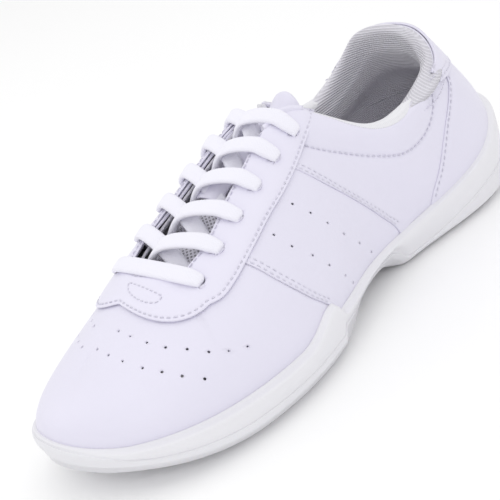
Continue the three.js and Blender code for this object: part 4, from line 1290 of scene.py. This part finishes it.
def midsoleSection(outer):
    s = sideS(halfS, outer) % loop
    side = wallPart(wallCurve[outer], sideS(halfS, outer), True, 44)
    tuck = side[:, :1] - 0.9 * push(s) - [0, 0, 0.2]
    inside = [skin(s, climbTo(s, rimHeight(s)) * share, -0.5) for share in (0.6, 0.2)]
    seat = besideFeather(s, 0 * s + 0.1, around(feather, s)[..., 2] - soleLook["seatDrop"])
    low = tuck[:, 0] - 0.8 * outward(s)
    low[:, 2] = groundHeight(low[:, 1]) + 3.6
    return np.concatenate([low[:, None], tuck, side, np.stack(inside, 1), seat[:, None]], 1)


left, right = midsoleSection(True), midsoleSection(False)
midsoleWall = gridMesh("midsoleWall", np.concatenate([
    left, ruled(left[:, -1], right[:, -1], 12), right[:, ::-1], ruled(right[:, 0], left[:, 0], 12)], 1),
    midsoleRubber, closeAcross=True, weld=0.004)
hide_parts("midsole_front", "midsole_rear")
bendAtBall(midsoleWall)

# heel insert: an oval plug with two raised rings
ringR = np.concatenate([np.linspace(0.02, 0.97, 70), [0.985, 0.992, 0.992]])
turn = np.linspace(0, 2 * np.pi, 97)[:-1]
rings = [np.exp(-(((ringR - radius) / 0.02) ** 4)) for radius in (0.62, 0.74)]
relief = 0.75 - 0.35 * rings[0] - 0.35 * rings[1] + 0.2 * smooth((ringR - 0.9) / 0.05)
relief[-3:] = [0.95, 1.2, 1.95]
plug = np.stack([
    insert["x"] + insert["halfWidth"] * ringR[:, None] * np.cos(turn)[None],
    insert["y"] + insert["halfLength"] * ringR[:, None] * np.sin(turn)[None],
    relief[:, None] - 0.12 + 0 * turn[None]], -1)
heelPlug = gridMesh("heelPlug", plug, midsoleRubber, closeAcross=True, capEnds=True)
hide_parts("heel_insert")
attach(heelPlug, "rearfoot")


def slab(name, outset, low, high, material, nodes, crown=0.0):
    s = {outer: sideS(halfS, outer) % loop for outer in (True, False)}
    rings = []
    for outer in (True, False):
        f = around(feather, s[outer])[..., 2]
        rounded = [(outset - 0.7, low), (outset, low + 0.5), (outset, high - 0.6),
                   (outset - 0.25, high - 0.15), (outset - 0.8, high)]
        rings.append(np.stack([besideFeather(s[outer], 0 * f + o, f + h) for o, h in rounded], 1))
    top = ruled(rings[0][:, -1], rings[1][:, -1], 60)
    share = np.linspace(0, 1, 62)[1:-1][None]
    top[..., 2] -= crown * np.sin(np.pi * share) ** 0.7
    full = np.concatenate([rings[0], top, rings[1][:, ::-1], ruled(rings[1][:, 0], rings[0][:, 0], 12)], 1)
    piece = gridMesh(name, full, material, closeAcross=True, weld=0.004, chart=full[..., :2] / 1000)
    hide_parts(*nodes)
    bendAtBall(piece)
    return piece


seat = soleLook["seatDrop"]
slab("insoleBoard", -0.6, 0.3 - seat, 1.9 - seat, boardFibre,
     ["insole_board_front", "insole_board_rear"])
slab("footbed", -4.4, 2.2 - seat, 5.9 - seat, insoleTwill,
     ["insole_front", "insole_rear"], 1.0)
print("sole done")


# Tongue: a padded tongue-shaped tube, leather on its free top and mesh under the lace

tongueLook = {"fold": 12.0, "tip": 26.0, "root": -73.0, "slope": 0.41, "thickness": 5.4, "meshEnd": -12.0,
              "innerReach": 3.4}
alongShoe = unit(np.array([0, 1, tongueLook["slope"]]))


def tongueCentre(y):
    return mix(-1.3, -4.1, (9 - y) / 83)


def tongueHalf(y):
    return mix(12.4, 21, np.clip((-4 - y) / 44, 0, 1)) - 1.6 * smooth((y - 8) / 10)


def instep(x, y, lift, curl):
    # the instep falls away to each side as a parabola that tightens toward the ankle
    away = x - tongueCentre(y)
    slope = tongueLook["slope"]
    normal = unit(np.stack([2 * curl * away, 0 * away - slope, 0 * away + 1], -1))
    place = np.stack([x, y, 84.3 + slope * y - curl * away ** 2], -1)
    return place + normal * np.asarray(lift)[..., None]


def tongueFace(x, y):
    curl = 0.0025 + 0.047 * np.exp(np.minimum(y, 9) / 42)
    curl = curl * (1 - 0.38 * smooth((tongueCentre(y) - x) / 14) * smooth((6 - y) / 10))
    dip = 6.2 + 2.0 * bell(y, 19, 5.4)
    point = instep(x, y, 0 * x, curl)
    point[..., 2] -= 1.08 * dip
    return point


def tonguePoint(x, y, depth):
    normal = unit(np.cross(tongueFace(x + 0.2, y) - tongueFace(x - 0.2, y),
                           tongueFace(x, y + 0.2) - tongueFace(x, y - 0.2)))
    return tongueFace(x, y) - normal * depth[..., None]


y = mix(tongueLook["root"], tongueLook["tip"], 1 - (1 - np.linspace(0, 1, 190)) ** 1.25)
y[-1] -= 0.02
fromTip = tongueLook["tip"] - y
tipRound = np.sqrt(np.clip(1 - np.clip(1 - fromTip / 5.5, 0, 1) ** 2.6, 0, 1))
reach = tongueHalf(y) * np.maximum(tipRound, 0.02)
angle = np.linspace(0, 2 * np.pi, 97)[:-1]
# flat-sided oval section: both halves bulge, the edge is stitched thin
ovalX, ovalZ = ovalSection(angle, 0.7, 0.75)
# the inner side reaches further under the eyestay than the outer
innerExtra = tongueLook["innerReach"] * smooth((4 - y) / 12)[:, None] * np.clip(-ovalX[None], 0, 1)
x = tongueCentre(y)[:, None] + reach[:, None] * ovalX[None] - innerExtra
yGrid = y[:, None] + 0 * x
share = ovalX[None] + 0 * yGrid
half = tongueLook["thickness"] / 2
puff = (1 - 0.35 * np.abs(share) ** 3) * np.minimum(1, tipRound + 0.25)[:, None]
puff *= 1 - 0.28 * bell(yGrid, tongueLook["fold"], 2.0) * (ovalZ[None] > 0)
seamDip = 0.45 * bell(np.abs(share), 0.84, 0.05) * (ovalZ[None] > 0)
depth = half - half * ovalZ[None] * puff + seamDip
tonguePoints = tonguePoint(x, yGrid, depth)
tonguePoints[..., 2] += 0.12 * ripple(tonguePoints, 16, 31)
kind = np.zeros((len(y) - 1, len(angle)), int)
kind[(y[:-1] < tongueLook["meshEnd"])] = 1
kind[:, np.sin(angle + np.pi / len(angle)) < 0] = 2
tongue = gridMesh("tongue", tonguePoints, [tongueSkin, tongueMesh, liningKnit], closeAcross=True,
                  capEnds=True, rowMaterial=kind, flip=True)
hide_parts("tongue_face", "tongue_foam", "tongue_lining",
            "tongue_flap_face", "tongue_flap_foam", "tongue_flap_lining")
foldAt = tongueFace(np.array([-1.2]), np.array([tongueLook["fold"]]))[0] + originShift
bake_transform(tongue)

# keeper: a strip of leather arched across the tongue, open toward the toe and the ankle
keeperLook = {"y": -24.0, "halfLength": 5.0, "halfWidth": 5.8, "rise": 2.9, "thickness": 1.0}
t = np.linspace(-1, 1, 41)
w = np.linspace(-1, 1, 17)
keeperX = tongueCentre(keeperLook["y"]) + keeperLook["halfWidth"] * t[:, None] + 0 * w
keeperY = keeperLook["y"] + keeperLook["halfLength"] * w[None] * (1 - 0.06 * t[:, None] ** 2) + 0 * t[:, None]
keeperLift = keeperLook["rise"] * (1 - np.abs(t[:, None]) ** 2.6) + 0.75 - 0.25 * w[None] ** 4 + 0 * w
laceKeeper = gridMesh("laceKeeper", tonguePoint(keeperX, keeperY, -keeperLift), leatherSkin)
thicken(laceKeeper, keeperLook["thickness"])
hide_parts("lace_keeper")
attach(laceKeeper, "rearfoot")
print("tongue done")


# Lace: one flat braid, threaded from its middle at the toe end up both sides

laceLook = {"width": 7.2, "thickness": 2.5, "aboveEyestay": 3.35, "belowLining": 5.8}
pitch = (eyeletSpan["y"][1] - eyeletSpan["y"][0]) / (eyeletSpan["rows"] - 1)


def one(x):
    return np.array([float(x)])


def facePoint(s, v, depth):
    return skin(one(s), one(v), -depth)[0]


def laceOn(x, y, lift):
    return instep(one(x), one(y), one(lift), 0.0365 * math.exp(y / 50))[0]


def laceStrand(side):
    # stops of one half of the lace: place, broad direction, width and thickness
    stops = []
    broad, pinched, inner = (laceLook["width"], laceLook["thickness"]), (3.6, 2.4), (4.8, 2.4)

    def add(place, size=broad, wide=alongShoe):
        stops.append(np.concatenate([place, wide, size]))

    sign = lambda: 1 if side == "outer" else -1
    edgeX = lambda row: eyeletX[side][row] - sign() * (throatInset + 1)
    beside = lambda row, out, back: solveFor(
        np.array([[eyeletX[side][row] - sign() * out, eyeletY[row] - back]]), (0, 1), side == "outer")
    overEdge = lambda row: beside(row, 6.4, 1.5)
    add(skin(*overEdge(0), laceLook["aboveEyestay"])[0])
    for row in range(eyeletSpan["rows"]):
        s, v = eyeletPlace[side][0][row], eyeletPlace[side][1][row]
        near = [found[0] for found in beside(row, 2.6, 0.8)]
        add(facePoint(*near, -laceLook["aboveEyestay"]), (laceLook["width"] - 0.4, laceLook["thickness"]))
        add(facePoint(s, v - 0.008, -2.6), (5.4, 2.4))
        add(facePoint(s, v - 0.004, -0.6), pinched)
        add(facePoint(s, v, 3), pinched)
        if row == eyeletSpan["rows"] - 1:
            add(facePoint(s, v - 0.06, laceLook["belowLining"] + 0.3), inner)
            break
        add(facePoint(*near, laceLook["belowLining"]), inner)
        add(laceOn(edgeX(row) - sign(), eyeletY[row] + 0.12 * pitch, -5.4))
        over = 1.2 if side == "inner" else -2.4
        add(laceOn(tongueCentre(eyeletY[row]), eyeletY[row] + 0.54 * pitch, over))
        side = "inner" if side == "outer" else "outer"
        add(skin(*overEdge(row + 1), laceLook["aboveEyestay"] + 0.1)[0])
    for s, v in [(5.5, 0.62), (5.45, 0.5), (5.5, 0.41), (5.75, 0.34), (6.1, 0.31), (6.5, 0.3), (6.8, 0.29),
                 (7.1, 0.26), (7.2, 0.2), (7.1, 0.15), (6.8, 0.13), (6.5, 0.13), (6.1, 0.13), (5.8, 0.13)]:
        place = s if side == "outer" else loop - s
        climb = unit(facePoint(place, v + 0.05, 0) - facePoint(place, v, 0))
        turned = min(max((0.62 - v) / 0.25, 0), 1)
        add(facePoint(place, v, laceLook["belowLining"] + 1.1), (6.6, 2.4),
            unit(mix(alongShoe, climb, turned)))
    return np.array(stops)


def centripetal(places, perSpan):
    # centripetal Catmull-Rom through the places
    full = np.vstack([2 * places[0] - places[1], places, 2 * places[-1] - places[-2]])
    gap = np.maximum(np.sqrt(np.linalg.norm(np.diff(full, axis=0), axis=1)), 1e-4)[:, None]
    a, b, c, d = full[:-3], full[1:-2], full[2:-1], full[3:]
    g0, g1, g2 = gap[:-2], gap[1:-1], gap[2:]
    m1 = ((b - a) / g0 - (c - a) / (g0 + g1) + (c - b) / g1) * g1
    m2 = ((c - b) / g1 - (d - b) / (g1 + g2) + (d - c) / g2) * g1
    f = (np.arange(perSpan) / perSpan)[None, :, None]
    b, c, m1, m2 = (q[:, None] for q in (b, c, m1, m2))
    spans = ((2 * f ** 3 - 3 * f ** 2 + 1) * b + (f ** 3 - 2 * f ** 2 + f) * m1
             + (3 * f ** 2 - 2 * f ** 3) * c + (f ** 3 - f ** 2) * m2)
    return np.vstack([spans.reshape(-1, 3), places[-1:]])


laceStops = np.vstack([laceStrand("outer")[::-1], laceStrand("inner")])
perSpan = 14
path = centripetal(laceStops[:, :3], perSpan)
stopAt = np.arange(len(path)) / perSpan
pick = lambda column: np.interp(stopAt, np.arange(len(laceStops)), laceStops[:, column])


def eased(values, reach):
    # running mean under a Hann window, the ends held
    window = np.hanning(2 * reach + 3)[1:-1]
    return np.convolve(np.pad(values, reach, mode="edge"), window / window.sum(), "valid")


wide = np.stack([eased(pick(k), 6) for k in (3, 4, 5)], -1)
width, thick = eased(pick(6), 5), eased(pick(7), 5)
tangent = unit(np.gradient(path, axis=0))
thin = unit(np.cross(tangent, wide))
wide = np.cross(thin, tangent)
turn = np.linspace(0, 2 * np.pi, 29)[:-1]
# soft flat tube: full over the middle with a faint ridge inside each edge
flatX, flatZ = ovalSection(turn, 0.75, 0.8)
flatZ *= 1 + 0.10 * bell(np.abs(flatX), 0.72, 0.14) - 0.05 * bell(flatX, 0, 0.4)
laceRings = (path[:, None] + wide[:, None] * (flatX[None] * width[:, None] / 2)[..., None]
             + thin[:, None] * (flatZ[None] * thick[:, None] / 2)[..., None])
shoelace = gridMesh("shoelace", laceRings, laceBraid, closeAcross=True, capEnds=True, flip=True)
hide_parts("lace")
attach(shoelace, "rearfoot")
print("lace length", round(lineLength(path), 1), "mm")


# Stitches, and what stays as it is in the frame

leatherStitches = sewStitches("leatherStitches", "leather", seamThread)
collarStitches = sewStitches("collarStitches", "collar", seamThread)
for stitched in (leatherStitches, collarStitches):
    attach(stitched, "rearfoot")
for nodeName, finish in (("heel_stiffener", puffBoard),
                         ("lace_tip_lateral", tipFilm), ("lace_tip_medial", tipFilm)):
    node = bpy.data.objects.get(nodeName)
    if node is not None:
        node.data.materials.clear()
        node.data.materials.append(finish)
print("stitches done")


# Studio: pale floor, broad soft lights, camera above the outer side near the toe

def areaLight(name, place, aim, size, power, colour=(1, 1, 1)):
    data = bpy.data.lights.new(name, "AREA")
    data.shape = "RECTANGLE"
    data.size, data.size_y = size
    data.energy = power
    data.color = colour
    light = bpy.data.objects.new(name, data)
    light.location = place
    light.rotation_euler = (Vector(aim) - Vector(place)).to_track_quat("-Z", "Y").to_euler()
    bpy.context.scene.collection.objects.link(light)
    return light


aim = (0, 0, 0.04)
areaLight("softTop", (0.1, 0.1, 1.1), aim, (1.3, 1.3), 2.8)
areaLight("softFront", (0.9, -0.9, 0.75), aim, (0.9, 0.9), 1.9, (0.98, 0.98, 1))
areaLight("softLeft", (-0.9, -0.5, 0.7), aim, (0.8, 0.8), 1.2)
world = bpy.data.worlds.new("softRoom")
bpy.context.scene.world = world
world.use_nodes = True
world.node_tree.nodes["Background"].inputs["Color"].default_value = (1, 1, 1, 1)
world.node_tree.nodes["Background"].inputs["Strength"].default_value = 0.84

floorMesh = bpy.data.meshes.new("paleFloor")
floorHalf = 6.0
corners = [(x * floorHalf, y * floorHalf, 0) for x, y in ((-1, -1), (1, -1), (1, 1), (-1, 1))]
floorMesh.from_pydata(corners, [], [(0, 1, 2, 3)])
paleFloor = bpy.data.objects.new("paleFloor", floorMesh)
bpy.context.scene.collection.objects.link(paleFloor)
floorPaint, _, _ = newMaterial("floorPaint", (0.97, 0.97, 0.97), 0.8)
floorMesh.materials.append(floorPaint)

shot = {"azimuth": 51.01, "elevation": 24.33, "roll": -20.01, "distance": 0.55188, "lens": 97.99,
        "right": -0.013585, "up": -0.005957, "target": (-0.0014, 0.003, 0.035)}
a, e, r = (math.radians(shot[key]) for key in ("azimuth", "elevation", "roll"))
back = Vector((math.sin(a) * math.cos(e), -math.cos(a) * math.cos(e), math.sin(e)))
level = Vector((math.cos(a), math.sin(a), 0))
upright = back.cross(level)
camRight = math.cos(r) * level + math.sin(r) * upright
camUp = -math.sin(r) * level + math.cos(r) * upright
target = Vector(shot["target"]) + shot["right"] * camRight + shot["up"] * camUp
camera = bpy.data.objects.new("camera", bpy.data.cameras.new("camera"))
camera.data.lens, camera.data.sensor_width = shot["lens"], 36.0
camera.data.clip_start = 0.01
axes = Matrix((camRight, camUp, back)).transposed().to_4x4()
camera.matrix_world = Matrix.Translation(target + back * shot["distance"]) @ axes
bpy.context.scene.collection.objects.link(camera)
bpy.context.scene.camera = camera

bpy.context.scene.view_settings.view_transform = "Standard"

print("scene finished")
